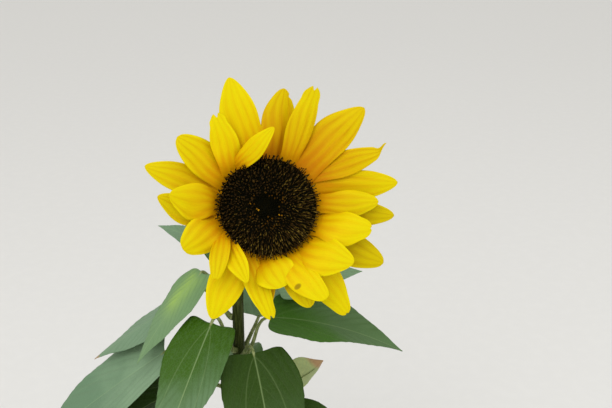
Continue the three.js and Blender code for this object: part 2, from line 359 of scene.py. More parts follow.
@dataclass(frozen=True)
class VeinPlan:
    """Where a leaf's veins run, over the share of its length and -1 to 1 across its widest.

    The same sums shape the mesh and paint it, so that the two agree.
    """

    length: float
    width: float
    side_reach: float = 0.62
    side_bend: float = 0.24
    side_end: float = 0.8
    pairs: float = 9.0
    rise: float = 0.36
    curve: float = 0.22

    def midrib(self, along: Number, across: Number) -> Number:
        """The strength of the midrib at a point."""
        return ridge(across * (self.width / 2), 0.5 - 0.26 * along)

    def sides(self, along: Number, across: Number) -> Number:
        """The strength of the two strong side veins that leave the base."""
        course = self.side_reach * (1 - math.e ** (-clamp(along - 0.02) / self.side_bend))
        strength = 1 - smooth(along, self.side_end - 0.35, self.side_end)
        strand = ridge((abs(across) - course) * (self.width / 2), 0.4)
        return strand * strength * smooth(along, 0.0, 0.04)

    def phase(self, along: Number, across: Number) -> Number:
        """Counts the side veins off the midrib: whole at each of them."""
        out = abs(across)
        lag = 0.22 * across / (out + 0.05)
        return (along - self.rise * out - self.curve * out * out) * self.pairs + lag

    def branches(self, along: Number, across: Number) -> Number:
        """The strength of the finer veins that leave the midrib in pairs."""
        off = abs((self.phase(along, across) + 0.5) % 1.0 - 0.5)
        near_ends = smooth(along, 0.1, 0.24) * (1 - smooth(along, 0.86, 0.98))
        return ridge(off * (self.length * 0.75 / self.pairs), 0.4) * near_ends

    def puffed(self, along: Number, across: Number) -> Number:
        """How far the blade swells between its finer veins."""
        between = abs(sine(self.phase(along, across) * math.pi))
        return between * smooth(abs(across), 0.02, 0.3) * (1 - smooth(along, 0.8, 1.0))


@dataclass(frozen=True)
class LeafTints:
    """The colours of one leaf's faces, and where they lie."""

    # base and tip: the blade's colour near its base and towards its tip. Where the tip is paler and
    # greyer, that is partly painted sheen, which stands for the sky's reflection where the blade
    # bends away.
    base: Colour
    tip: Colour
    turn: float = 0.35
    # bright_side: painted light, which turns one half of the blade to the paler tip colour sooner
    # than the other.
    bright_side: float = 0.0
    vein: Colour = (0.24, 0.34, 0.15)
    vein_strength: float = 0.75
    # flush: the colour of a patch beside the midrib near the base.
    flush: Colour | None = None
    dry_tip: float = 0.0
    under: Colour = (0.16, 0.24, 0.10)


@dataclass(frozen=True)
class BladeFinish:
    """What a leaf's two faces share: the plan of its veins, its tints and its dried tip."""

    name: str
    veins: VeinPlan
    tints: LeafTints

    def flat(self, paint: Paint, along: Value, across: Value) -> bpy.types.NodeSocket:
        """Where a point lies on the blade laid flat, in millimetres."""
        return paint.flat(along * self.veins.length, across * (self.veins.width / 2))

    def dried(self, paint: Paint, colour: Tint, along: Value, cloud: Value, dry: Colour) -> Tint:
        """A colour turned dry towards the tip, on a leaf whose tip has withered."""
        share = self.tints.dry_tip
        if not share:
            return colour
        dryness = smooth(along + (cloud - 0.5) * 0.12, 1 - share, 1 - share * 0.5)
        return paint.mix(dryness, colour, dry)


@dataclass(frozen=True)
class LeafFinish(BladeFinish):
    """A leaf's upper face: dull green, greyed by painted sheen that stands for the sky's
    reflection, with pale veins and a fine net between.
    """

    dry: Colour = (0.36, 0.25, 0.14)
    turn_width: float = 0.22
    sheen: Colour = (0.8, 0.95, 0.8)

    def material(self) -> bpy.types.Material:
        """Makes the finish."""
        paint = Paint(f"leaf_{self.name}")
        along, across = paint.plan()
        cloud = paint.noise(paint.place(), 45, 4)
        flat = self.flat(paint, along, across)
        net = smooth(paint.cells(flat, 0.55, "DISTANCE_TO_EDGE"), 0.0, 0.12)
        tints, veins = self.tints, self.veins
        deep = shade(tints.base, 0.6)
        # Partly painted sheen and light: the colour turns from base to tip along the blade, and
        # sooner on one side where bright_side is set.
        turn = clamp(along + (cloud - 0.5) * 0.5 - across * tints.bright_side)
        turned = smooth(turn, tints.turn - self.turn_width, tints.turn + self.turn_width)
        colour = paint.mix(turned, tints.base, tints.tip)
        colour = paint.mix((1 - net) * 0.14, colour, shade(tints.tip, 1.4))
        colour = paint.mix(clamp(cloud * 1.6 - 0.75) * 0.35, colour, deep)
        puffed = veins.puffed(along, across)
        # A yellow-green patch beside the midrib near the base, mottled by noise.
        if tints.flush:
            ends = smooth(along, 0.0, 0.1) * (1 - smooth(along, 0.3, 0.62))
            patch = ridge(across + 0.12, 0.42) * ends
            mottled = clamp(patch * (cloud * 1.5 + puffed * 0.25 - 0.1) * 0.9)
            colour = paint.mix(mottled, colour, tints.flush)
        # Painted shade: the deep green darkens the blade along its finer veins, in the furrows
        # between its swellings.
        furrow = (1 - puffed) ** 2 * smooth(abs(across), 0.06, 0.3)
        colour = paint.mix(furrow * 0.3, colour, deep)
        lesser = veins.sides(along, across) * 0.3 + veins.branches(along, across) * 0.1
        strands = clamp(veins.midrib(along, across) + lesser) * tints.vein_strength
        colour = paint.mix(strands, colour, tints.vein)
        colour = self.dried(paint, colour, along, cloud, self.dry)
        grain = paint.noise(flat, 1.6, 3)
        return paint.surface(
            Base_Color=colour,
            Roughness=clamp(0.5 + (grain - 0.5) * 0.3 + strands * 0.1),
            Normal=paint.bump(net * 0.5 + grain * 0.5, 0.2, 0.55),
            Specular_IOR_Level=0.12,
            Sheen_Weight=0.03,
            Sheen_Roughness=0.4,
            Sheen_Tint=self.sheen,
        )


@dataclass(frozen=True)
class UndersideFinish(BladeFinish):
    """A leaf's lower face: paler and duller, with its veins lighter still."""

    vein: Colour = (0.30, 0.39, 0.19)
    dry: Colour = (0.42, 0.26, 0.13)

    def material(self) -> bpy.types.Material:
        """Makes the finish."""
        paint = Paint(f"underside_{self.name}")
        along, across = paint.plan()
        cloud = paint.noise(paint.place(), 70, 4)
        flat = self.flat(paint, along, across)
        net = smooth(paint.cells(flat, 0.5, "DISTANCE_TO_EDGE"), 0.0, 0.14)
        under, veins = self.tints.under, self.veins
        colour = paint.mix(cloud, shade(under, 0.75), shade(under, 1.2))
        colour = paint.mix((1 - net) * 0.35, colour, self.vein)
        strands = clamp(veins.midrib(along, across) + veins.sides(along, across) * 0.7)
        strands = clamp(strands + veins.branches(along, across) * 0.5)
        colour = paint.mix(strands * 0.8, colour, self.vein)
        return paint.surface(
            Base_Color=self.dried(paint, colour, along, cloud, self.dry),
            Roughness=0.68 + (cloud - 0.5) * 0.2,
            Normal=paint.bump((1 - net) * 0.6 + cloud * 0.4, 0.2, 0.7),
            Specular_IOR_Level=0.2,
            Sheen_Weight=0.1,
        )


@dataclass(frozen=True)
class StalkFinish:
    """Stem, stalk, cup or bract: green with paler streaks along it and fine dark specks."""

    name: str
    body: Colour
    streak: Colour
    specks: float = 0.5
    stretch: float = 0.12
    speck: Colour = (0.030, 0.022, 0.016)

    def material(self) -> bpy.types.Material:
        """Makes the finish."""
        paint = Paint(self.name)
        place = paint.place()
        streaks = paint.noise(paint.stretched(place, (1.0, 1.0, self.stretch)), 700, 3)
        cloud = paint.noise(place, 90, 3)
        dots = 1 - smooth(paint.cells(place, 620), 0.12, 0.3)
        colour = paint.mix(smooth(streaks, 0.42, 0.68), self.body, self.streak)
        colour = paint.mix(clamp(cloud * 1.5 - 0.5) * 0.4, colour, shade(self.body, 0.6))
        colour = paint.mix(dots * self.specks, colour, self.speck)
        return paint.surface(
            Base_Color=colour,
            Roughness=0.55 + (cloud - 0.5) * 0.3,
            Normal=paint.bump(streaks * 0.7 + dots * 0.3, 0.15, 0.8),
            Specular_IOR_Level=0.1,
        )


@dataclass(frozen=True)
class GrainFinish:
    """A small dry part, such as a floret or hair: one colour broken up by cloudy noise."""

    name: str
    body: Colour
    light: Colour
    roughness: float = 0.6
    scale: float = 500.0
    relief: float = 0.1
    gloss: float = 0.15

    def material(self) -> bpy.types.Material:
        """Makes the finish."""
        paint = Paint(self.name)
        cloud = paint.noise(paint.place(), self.scale, 3)
        return paint.surface(
            Base_Color=paint.mix(smooth(cloud, 0.4, 0.7), self.body, self.light),
            Roughness=clamp(self.roughness + (cloud - 0.5) * 0.4),
            Normal=paint.bump(cloud, self.relief, 0.6),
            Specular_IOR_Level=self.gloss,
        )


# Lines that blades and limbs follow


@dataclass(frozen=True)
class Station:
    """A place on a line, and the directions along it, across it and up from it."""

    point: Vector
    along: Vector
    across: Vector
    up: Vector

    def beside(self, aside: float, rise: float, back: float = 0.0) -> Vector:
        """The point that lies aside of the station, up from it and back along the line."""
        return self.point + self.across * aside + self.up * rise - self.along * back


@dataclass(frozen=True)
class Course:
    """A line that starts at a point, and turns and pitches evenly as it goes."""

    start: Vector
    heading: float
    pitch: float
    length: float
    steps: int
    turn: float = 0.0
    drop: float = 0.0
    roll: float = 0.0
    power: float = 1.0

    def spine(self) -> "Spine":
        """The smooth line through the places at each step."""
        made = []
        point = self.start.copy()
        last = 0.0
        for i in range(self.steps + 1):
            share = (i / self.steps) ** self.power
            flat = level(self.heading + self.turn * (share - 0.5))
            along = tilted(flat, self.pitch - self.drop * share)
            point = point + along * ((share - last) * self.length)
            last = share
            across = UP.cross(flat)
            across.rotate(Quaternion(along, math.radians(self.roll)))
            made.append(Station(point, along, across, along.cross(across)))
        return Spine(made, self.power)


def through(points: list[Vector], i: int, share: float) -> Vector:
    """A point on the smooth line through points, a share of the way from number i to the next."""
    before = points[i - 1] if i > 0 else points[i] * 2 - points[i + 1]
    after = points[i + 2] if i + 2 < len(points) else points[i + 1] * 2 - points[i]
    leave = (points[i + 1] - before) / 2
    arrive = (after - points[i]) / 2
    square = share * share
    cube = square * share
    return (
        points[i] * (2 * cube - 3 * square + 1)
        + leave * (cube - 2 * square + share)
        + points[i + 1] * (3 * square - 2 * cube)
        + arrive * (cube - square)
    )


@dataclass(frozen=True)
class Spine:
    """A smooth line through stations, read at any share of its length."""

    stations: list[Station]
    power: float

    def at(self, share: float) -> Station:
        """The station at a share of the length."""
        steps = len(self.stations) - 1
        place = steps * clamp(share) ** (1 / self.power)
        i = min(int(place), steps - 1)
        part = place - i
        here, there = self.stations[i], self.stations[i + 1]
        along = here.along.lerp(there.along, part).normalized()
        across = here.across.lerp(there.across, part).normalized()
        point = through([station.point for station in self.stations], i, part)
        return Station(point, along, across, along.cross(across).normalized())

    def rows(self, count: int) -> list[Station]:
        """The stations at even shares, one more than the count."""
        return [self.at(i / count) for i in range(count + 1)]


@dataclass(frozen=True)
class Line:
    """A line as close points, with how far along it each one lies."""

    points: list[Vector]
    shares: list[float] = field(init=False)
    length: float = field(init=False)

    def __post_init__(self) -> None:
        """Measures the line."""
        steps = [(b - a).length for a, b in zip(self.points, self.points[1:])]
        total = sum(steps)
        object.__setattr__(self, "length", total)
        object.__setattr__(self, "shares", [0.0, *(np.cumsum(steps) / total)])

    def at(self, share: float) -> Vector:
        """The point at a share of the length."""
        return Vector([np.interp(share, self.shares, parts) for parts in zip(*self.points)])

    def share_at(self, height: float) -> float:
        """The share of the length at which the line reaches a height."""
        return float(np.interp(height, [p.z for p in self.points], self.shares))

    def stations(self, steps: int, side: Vector) -> list[Station]:
        """Stations at even steps, whose sides turn as little as they can.

        Args:
            steps: how many steps to take.
            side: the side at the start, before it is squared to the line.

        Returns:
            The stations, one more than the steps.
        """
        places = [self.at(i / steps) for i in range(steps + 1)]
        made = []
        for i, point in enumerate(places):
            along = (places[min(i + 1, steps)] - places[max(i - 1, 0)]).normalized()
            side = (side - along * side.dot(along)).normalized()
            made.append(Station(point, along, side, along.cross(side)))
        return made


def bezier(a: Vector, b: Vector, c: Vector, d: Vector, count: int) -> list[Vector]:
    """Points along the curve that leaves a towards b and reaches d from c."""
    made = []
    for i in range(count + 1):
        t = i / count
        u = 1 - t
        made.append(a * u**3 + b * (3 * u * u * t) + c * (3 * u * t * t) + d * t**3)
    return made


def swelling(along: float, widest_at: float) -> float:
    """How broad a blade is at a share of its length: 1 at its widest, nothing at both ends.

    Args:
        along: the share of the length.
        widest_at: a power below 1, which brings the widest place nearer to the root.

    Returns:
        The share of the full width.
    """
    return max(math.sin(math.pi * along**widest_at), 0.0)


# Meshes


Face = Callable[[float, float, float], Vector]
Plan = Callable[[float, float], tuple[float, float]]
Radius = Callable[[float, float], float]


def even(a: float, b: float) -> tuple[float, float]:
    """The plan of a face whose cells are all alike."""
    return a, b


class Model:
    """A mesh in the making, in millimetres, that becomes a piece of the plant."""

    def __init__(self) -> None:
        """Starts an empty mesh with the two layers that say where a vertex lies on its blade."""
        self.bm = bmesh.new()
        self.along = self.bm.verts.layers.float.new("along")
        self.across = self.bm.verts.layers.float.new("across")
        self.uv = self.bm.loops.layers.uv.new(PLAN)

    def grid(self, rows: int, columns: int) -> tuple[list, list]:
        """A flat grid whose vertices know their shares, as its vertices and its faces."""
        made = bmesh.ops.create_grid(self.bm, x_segments=rows, y_segments=columns, size=0.5)
        verts = made["verts"]
        for vert in verts:
            vert[self.along] = vert.co.x + 0.5
            vert[self.across] = vert.co.y + 0.5
        return verts, list({face for vert in verts for face in vert.link_faces})

    def finish(self, faces: list[bmesh.types.BMFace], slot: int) -> None:
        """Turns faces outwards, smooths them and gives them a material number."""
        bmesh.ops.recalc_face_normals(self.bm, faces=faces)
        for face in faces:
            face.material_index = slot
            face.smooth = True

    def read_plan(self, faces: Iterable[bmesh.types.BMFace], plan: Plan) -> None:
        """Writes the plan map of faces from the shares of their corners."""
        for face in faces:
            for loop in face.loops:
                loop[self.uv].uv = plan(loop.vert[self.along], loop.vert[self.across])

    def shell(
        self,
        rows: int,
        columns: int,
        point: Face,
        plan: Plan = even,
        slots: tuple[int, int] = (0, 0),
    ) -> None:
        """A thin closed blade.

        Args:
            rows: cells along it.
            columns: cells across it.
            point: gives a point from the shares along and across, and 0 for the upper face or 1
                for the lower.
            plan: gives the plan map's two numbers from the shares.
            slots: the material numbers of the upper face and the lower.
        """
        lower, under_faces = self.grid(rows, columns)
        made = bmesh.ops.extrude_face_region(self.bm, geom=under_faces, use_keep_orig=True)["geom"]
        upper = [item for item in made if isinstance(item, bmesh.types.BMVert)]
        for side, verts in enumerate((upper, lower)):
            for vert in verts:
                vert.co = point(vert[self.along], vert[self.across], side)
        faces = list({face for vert in lower + upper for face in vert.link_faces})
        self.finish(faces, slots[0])
        self.read_plan(faces, plan)
        for face in under_faces:
            face.material_index = slots[1]

    def tube(self, stations: list[Station], sides: int, radius: Radius, slot: int = 0) -> None:
        """A closed limb along stations.

        Args:
            stations: the places that its rings lie at.
            sides: how many faces go round it.
            radius: gives the radius from the shares along and around.
            slot: its material number.
        """
        rows = len(stations) - 1
        verts, faces = self.grid(rows, sides)
        self.read_plan(faces, even)
        for vert in verts:
            a, b = vert[self.along], vert[self.across]
            station = stations[round(a * rows)]
            turn, reach = math.tau * b, radius(a, b)
            vert.co = station.beside(reach * math.cos(turn), reach * math.sin(turn))
        bmesh.ops.remove_doubles(self.bm, verts=verts, dist=WELD)
        faces = [face for face in faces if face.is_valid]
        rims = {edge for face in faces for edge in face.edges if edge.is_boundary}
        caps = bmesh.ops.holes_fill(self.bm, edges=list(rims), sides=0)["faces"]
        self.finish(faces + caps, slot)
        for cap in caps:
            cap.smooth = False

    def turned(self, profile: tuple[tuple[float, float], ...], sides: int = 64) -> None:
        """A solid of revolution about +Z.

        Args:
            profile: radii and heights, from a place on the axis to another.
            sides: how many faces go round it.
        """
        verts = [self.bm.verts.new((radius, 0, height)) for radius, height in profile]
        edges = [self.bm.edges.new(pair) for pair in zip(verts, verts[1:])]
        bmesh.ops.spin(
            self.bm,
            geom=verts + edges,
            cent=(0, 0, 0),
            axis=UP,
            angle=math.tau,
            steps=sides,
            use_merge=True,
        )
        bmesh.ops.remove_doubles(self.bm, verts=self.bm.verts[:], dist=WELD)
        self.finish(self.bm.faces[:], 0)

    def piece(self, name: str, materials: list, into: Matrix | None = None) -> bpy.types.Object:
        """Turns the model into an object of the scene.

        Args:
            name: the piece's name.
            materials: its materials in the order of their numbers.
            into: the turn and place that bring it to the plant's own axes.

        Returns:
            The object, at the origin, with its place in its mesh.
        """
        if into is not None:
            bmesh.ops.transform(self.bm, matrix=into, verts=self.bm.verts[:])
        bmesh.ops.scale(self.bm, vec=(METRES,) * 3, verts=self.bm.verts[:])
        mesh = bpy.data.meshes.new(name)
        self.bm.to_mesh(mesh)
        self.bm.free()
        return placed(name, mesh, materials)


def placed(name: str, mesh: bpy.types.Mesh, materials: list) -> bpy.types.Object:
    """Puts a mesh into the scene with its materials."""
    for material in materials:
        mesh.materials.append(material)
    thing = bpy.data.objects.new(name, mesh)
    bpy.context.scene.collection.objects.link(thing)
    return thing


@dataclass(frozen=True)
class Seedling:
    """A small shape that is scattered many times: its vertices, faces and their materials."""

    verts: np.ndarray
    faces: list[list[int]]
    slots: list[int]

    @classmethod
    def taken_from(cls, bm: bmesh.types.BMesh) -> "Seedling":
        """Reads a finished bmesh and frees it."""
        bm.verts.index_update()
        verts = np.array([vert.co[:] for vert in bm.verts])
        faces = [[vert.index for vert in face.verts] for face in bm.faces]
        slots = [face.material_index for face in bm.faces]
        bm.free()
        return cls(verts, faces, slots)


class Scatter:
    """Many small shapes gathered into one mesh."""

    def __init__(self) -> None:
        """Starts with none."""
        self.verts: list[np.ndarray] = []
        self.faces: list[list[int]] = []
        self.slots: list[int] = []
        self.count = 0

    def sow(self, shape: Seedling, matrix: Matrix, slots: tuple[int, ...] | None = None) -> None:
        """Adds a shape.

        Args:
            shape: what to add.
            matrix: its size, turn and place.
            slots: materials that stand in for the shape's own, in their order.
        """
        turn = np.array(matrix)
        self.verts.append(shape.verts @ turn[:3, :3].T + turn[:3, 3])
        self.faces += [[corner + self.count for corner in face] for face in shape.faces]
        self.slots += [slots[slot] if slots else slot for slot in shape.slots]
        self.count += len(shape.verts)

    def piece(self, name: str, materials: list, into: Matrix | None = None) -> bpy.types.Object:
        """Turns what was sown into one object, in metres."""
        verts = np.concatenate(self.verts)
        if into is not None:
            turn = np.array(into)
            verts = verts @ turn[:3, :3].T + turn[:3, 3]
        mesh = bpy.data.meshes.new(name)
        mesh.from_pydata((verts * METRES).tolist(), [], self.faces)
        mesh.polygons.foreach_set("material_index", self.slots)
        mesh.polygons.foreach_set("use_smooth", [True] * len(self.faces))
        mesh.update()
        return placed(name, mesh, materials)


MIDWAY = Matrix.Translation((0, 0, 0.5))


def add_cone(bm: bmesh.types.BMesh, sides: int, foot: float, top: float) -> None:
    """Adds a cone one millimetre tall that stands on the origin."""
    bmesh.ops.create_cone(
        bm, cap_ends=True, segments=sides, radius1=foot, radius2=top, depth=1.0, matrix=MIDWAY
    )


def bristle() -> Seedling:
    """A hair: a three-sided spike one millimetre long, standing on the origin."""
    bm = bmesh.new()
    add_cone(bm, 3, 0.04, 0.006)
    return Seedling.taken_from(bm)


def facing(direction: Vector, place: Vector, scale: tuple, spin: float = 0) -> Matrix:
    """The matrix that stands a shape's +Z along a direction at a place."""
    turn = UP.rotation_difference(direction.normalized()).to_matrix().to_4x4()
    turn = turn @ Matrix.Rotation(spin, 4, "Z")
    return Matrix.Translation(place) @ turn @ Matrix.Diagonal((*scale, 1))


@dataclass(frozen=True)
class Coat:
    """The bristles of a limb: how many, and the ranges that each one is drawn from."""

    count: int
    reach: tuple[float, float]
    lean: tuple[float, float]
    length: tuple[float, float]
    girth: float = 1.0
    sunk: float = 0.1

    def sow(
        self, scatter: Scatter, dice: random.Random, stations: list[Station], radius: Radius
    ) -> None:
        """Sows the bristles.

        Args:
            scatter: gathers them.
            dice: draws where each one stands and how it leans.
            stations: the limb's stations.
            radius: gives the limb's radius from the shares along and around.
        """
        shape = bristle()
        last = len(stations) - 1
        for _ in range(self.count):
            share, turn = dice.uniform(*self.reach), dice.random()
            station = stations[round(share * last)]
            angle = math.tau * turn
            out = station.across * math.cos(angle) + station.up * math.sin(angle)
            way = out + station.along * dice.uniform(*self.lean)
            place = station.point + out * (radius(share, turn) - self.sunk)
            size = (self.girth, self.girth, dice.uniform(*self.length))
            scatter.sow(shape, facing(way, place, size))


# The stem


@dataclass
class Stem:
    """The one stem, from its flat foot over the neck to the back of the bloom."""

    foot_radius: float = 5.8
    neck_radius: float = 3.5
    end_radius: float = 5.2
    taper_share: float = 0.87
    flare: float = 2.6
    flare_height: float = 14.0
    head_start: float = 0.92
    neck_bend: float = 24.0
    neck_lift: tuple[float, float, float] = (0, 1, 36)
    knot_steps: int = 40
    neck_steps: int = 60
    sides: int = 54
    steps: int = 170
    ridges: int = 9
    coat: Coat = Coat(2600, reach=(0.02, 0.985), lean=(-0.25, 0.45), length=(0.7, 1.7))
    knots: tuple[tuple, ...] = ((0, 0, 0), (1.5, -1, 110), (-1, 1.5, 220), (0, 4, 335))

    def lay(self, end: Vector, ahead: Vector) -> None:
        """Lays the stem's centre line up to the bloom.

        Args:
            end: where the stem meets the cup.
            ahead: the way that the bloom looks.
        """
        knots = [Vector(point) for point in self.knots]
        steps = self.knot_steps
        points = [
            through(knots, i, k / steps) for i in range(len(knots) - 1) for k in range(steps)
        ]
        top = knots[-1]
        lift = top + Vector(self.neck_lift)
        points += bezier(top, lift, end - ahead * self.neck_bend, end, self.neck_steps)
        self.line = Line(points)
        self.stations = self.line.stations(self.steps, Vector((1, 0, 0)))

    def radius(self, share: float) -> float:
        """The stem's radius at a share of its length."""
        taper = lerp(self.foot_radius, self.neck_radius, min(share / self.taper_share, 1))
        flare = self.flare * math.exp(-share * self.line.length / self.flare_height)
        head = (self.end_radius - self.neck_radius) * smooth(share, self.head_start, 1)
        return taper + flare + head

    def skin(self, a: float, b: float) -> float:
        """The radius with its shallow ridges, which wander a little as they climb."""
        wander = 0.05 * math.sin(9 * a) + 0.03 * math.sin(23 * a + 1)
        furrow = 0.035 * math.cos(math.tau * self.ridges * (b + wander))
        swell = 0.02 * math.sin(31 * a + 4 * math.pi * b)
        return self.radius(a) * (1 + furrow + swell)

    def build(self) -> bpy.types.Object:
        """Makes the stem's skin, with its foot cut flat at the ground."""
        model = Model()
        model.tube(self.stations, self.sides, self.skin)
        for vert in model.bm.verts:
            vert.co.z = 0.0 if vert[model.along] == 0.0 else max(vert.co.z, 0.0)
        green = StalkFinish("stem_hide", (0.024, 0.035, 0.004), (0.068, 0.082, 0.018))
        return model.piece("stem_skin", [green.material()])

    def sow_hairs(self, scatter: Scatter, dice: random.Random) -> None:
        """Sows the bristles that stand off the stem."""
        self.coat.sow(scatter, dice, self.stations, self.skin)


# Leaves


@dataclass
class Leaf:
    """One leaf: a hairy stalk that arches out of the stem, and the blade that it carries.

    The row of each leaf gives its height on the stem; its stalk's azimuth, how far out that
    reaches and how far up; the blade's heading, pitch, drop of the pitch by the tip, turn in
    plan and roll; its length, width and the angle of its keel.
    """

    name: str
    height: float
    azimuth: float
    out: float
    up: float
    heading: float
    pitch: float
    drop: float
    turn: float
    roll: float
    length: float
    width: float
    keel: float
    tints: LeafTints
    curl: float = 0.0
    droop: float = 0.0
    left_lobe: float = 1.0
    right_lobe: float = 1.0
    stalk_rise: float = 52.0
    stalk_arriving: float = 0.35
    widest_at: float = 0.58
    tip_draw: float = 0.35

    stalk_root: float = 1.55
    stalk_end: float = 1.0
    stalk_leaving: float = 0.4
    stalk_sides: int = 16
    stalk_steps: int = 80
    stalk_foot: float = 3.5
    clearance: float = 0.3
    sink: float = 1.6
    course_steps: int = 10
    course_power: float = 1.35
    row_power: float = 1.15
    column_power: float = 1.12
    cell: float = 0.95
    fullness: float = 0.88
    lobe: float = 0.13
    lobe_reach: float = 0.16
    lobe_start: float = 0.08
    base_share: float = 0.07
    tip_share: float = 0.015
    teeth: float = 15.0
    tooth_depth: float = 0.02
    keel_round: float = 0.06
    plate: float = 0.55
    groove: float = 0.25
    puff: float = 0.26
    wave: float = 0.045
    waves: float = 2.6
    rib_end: float = 0.8
    rib_radius: float = 0.25
    rib_steps: int = 30

    def __post_init__(self) -> None:
        """Works out the veins, and the leaf's own phase for its waves."""
        self.veins = VeinPlan(self.length, self.width)
        self.phase = random.Random(self.name).uniform(0, math.tau)

    def half_width(self, along: float) -> float:
        """Half the blade's width at a share of its length, without the teeth."""
        drawn = swelling(along, self.widest_at) ** self.fullness * (1 - self.tip_draw * along**3)
        return self.width / 2 * max(drawn, self.base_share * (1 - along), self.tip_share)

    def place(self, along: float, v: float) -> float:
        """Where a point lies across the veins' plan, from -1 to 1."""
        return v * self.half_width(along) / (self.width / 2)

    def side(self, b: float) -> float:
        """Where a share of the cells lies from edge to edge: they crowd to the midrib."""
        spread = 2 * b - 1
        return math.copysign(abs(spread) ** self.column_power, spread)

    def toothed(self, along: float) -> float:
        """The share of the half width that the shallow teeth of the edge leave."""
        tooth = (along * self.teeth + 0.3 * math.sin(self.phase + 9 * along)) % 1.0
        notch = 1 - smooth(tooth, 0.0, 0.85) if tooth > 0.02 else 1.0
        depth = self.tooth_depth * smooth(along, 0.1, 0.3) * (1 - 0.4 * along)
        return 1 - depth * (1 - tooth * 0.9 if tooth > 0.1 else notch * tooth * 9)

    def setback(self, along: float, v: float) -> float:
        """How far back the blade's edge is carried to round its base."""
        fade = math.exp(-along / self.lobe_reach) * min(1, along / self.lobe_start)
        lobe = self.left_lobe if v > 0 else self.right_lobe
        return self.length * self.lobe * v * v * fade * lobe

    def relief(self, along: float, v: float) -> float:
        """How far the upper face stands out of the folded blade, by its veins and waves."""
        across, veins = self.place(along, v), self.veins
        strands = veins.midrib(along, across) + 0.5 * veins.sides(along, across)
        strands += 0.2 * veins.branches(along, across)
        turn = math.tau * self.waves * along + self.phase + (v > 0) * 2.2
        body = smooth(along, 0.05, 0.3) * (1 - smooth(along, 0.85, 1.0))
        sway = self.wave * self.half_width(along) * (abs(v) ** 3 * math.sin(turn)) * body
        return self.puff * veins.puffed(along, across) - self.groove * strands + sway

    def curled(self, along: float, v: float) -> float:
        """How far the blade's edges curl up towards its tip, and its lobes hang at its base."""
        hanging = self.droop * v * v * (1 - smooth(along, 0.02, 0.3))
        return self.curl * self.half_width(along) * (v * v) * smooth(along, 0.3, 1.0) - hanging

    def blade(self, model: Model, spine: Spine) -> None:
        """Adds the blade to the model."""
        rows = max(30, round(self.length / self.cell))
        columns = 2 * max(10, round(self.width / self.cell / 2))
        fold = math.tan(math.radians(self.keel))
        shares = [(i / rows) ** self.row_power for i in range(rows + 1)]
        stations = [spine.at(share) for share in shares]

        def point(a: float, b: float, side: float) -> Vector:
            """The point of the upper face, or of the lower where side is 1."""
            i, v = round(a * rows), self.side(b)
            along, station = shares[i], stations[i]
            half = self.half_width(along)
            lift = half * fold * (math.sqrt(v * v + self.keel_round**2) - self.keel_round)
            relief = self.relief(along, v) + self.curled(along, v)
            thick = side * self.plate * (1 - 0.6 * abs(v) ** 6) * (1 - 0.4 * along)
            reach = half * v * lerp(1, self.toothed(along), abs(v) ** 4)
            return station.beside(reach, lift + relief - thick, self.setback(along, v))

        def plan(a: float, b: float) -> tuple[float, float]:
            """Where a vertex lies on the veins' plan, both from 0 to 1."""
            along = a**self.row_power
            return along, 0.5 + 0.5 * self.place(along, self.side(b))

        model.shell(rows, columns, point, plan, slots=(0, 1))

    def lay(self, stem: Stem) -> tuple[Line, Spine]:
        """Lays the stalk's line and the blade's spine."""
        share = stem.line.share_at(self.height)
        centre, outward = stem.line.at(share), level(self.azimuth)
        raised = self.stalk_root * math.sin(math.radians(self.stalk_rise))
        start = centre + outward * (stem.radius(share) + raised + self.clearance)
        joint = centre + outward * self.out + UP * self.up
        ways = (self.heading, self.pitch, self.length, self.course_steps)
        bends = (self.turn, self.drop, self.roll, self.course_power)
        spine = Course(joint, *ways, *bends).spine()
        span = (joint - start).length
        away = start + tilted(outward, self.stalk_rise) * (span * self.stalk_leaving)
        before = joint - spine.stations[0].along * (span * self.stalk_arriving)
        arch = bezier(start, away, before, joint, 24)
        return Line([start - outward * self.sink, *arch]), spine

    def stalk(self, line: Line, spine: Spine) -> None:
        """Lays the stalk's stations, carried on as the rib under the blade, and its radius."""

        def rib_radius(share: float) -> float:
            """The rib's radius at a share of its length."""
            return lerp(self.stalk_end, self.rib_radius, share**0.6)

        below = []
        for i in range(1, self.rib_steps + 1):
            share = (i / self.rib_steps) ** 1.3
            rib = spine.at(self.rib_end * share)
            depth = self.groove + self.plate * 0.5 + rib_radius(share)
            below.append(rib.point - rib.up * (depth * smooth(share, -0.02, 0.06)))
        whole = Line([*(line.at(i / 20) for i in range(21)), *below])
        self.stations = whole.stations(self.stalk_steps, UP.cross(whole.at(0.2) - whole.at(0)))
        bare = line.length / whole.length

        def radius(a: float, b: float) -> float:
            """The radius from the shares along and around, with the channel along its top."""
            if a < bare:
                body = lerp(self.stalk_root, self.stalk_end, a / bare)
                body += math.exp(-a * whole.length / self.stalk_foot)
            else:
                body = rib_radius((a - bare) / (1 - bare))
            channel = 0.2 * max(0.0, math.sin(math.tau * b)) ** 8
            ribbing = 0.04 * math.cos(math.tau * 5 * b)
            return body * (1 - channel + ribbing)

        self.stalk_radius = radius

    def build(self, stem: Stem, stalk_finish: bpy.types.Material) -> bpy.types.Object:
        """Makes the leaf as one piece."""
        line, spine = self.lay(stem)
        model = Model()
        self.blade(model, spine)
        self.stalk(line, spine)
        self.bare = line.length / Line([s.point for s in self.stations]).length
        model.tube(self.stations, self.stalk_sides, self.stalk_radius, slot=2)
        materials = [
            LeafFinish(self.name, self.veins, self.tints).material(),
            UndersideFinish(self.name, self.veins, self.tints).material(),
            stalk_finish,
        ]
        return model.piece(f"blade_{self.name}", materials)

    def sow_hairs(self, scatter: Scatter, dice: random.Random) -> None:
        """Sows the bristles that stand off the stalk."""
        coat = Coat(110, reach=(0.04, self.bare), lean=(-0.3, 0.5), length=(0.5, 1.2), girth=0.8)
        coat.sow(scatter, dice, self.stations, self.stalk_radius)
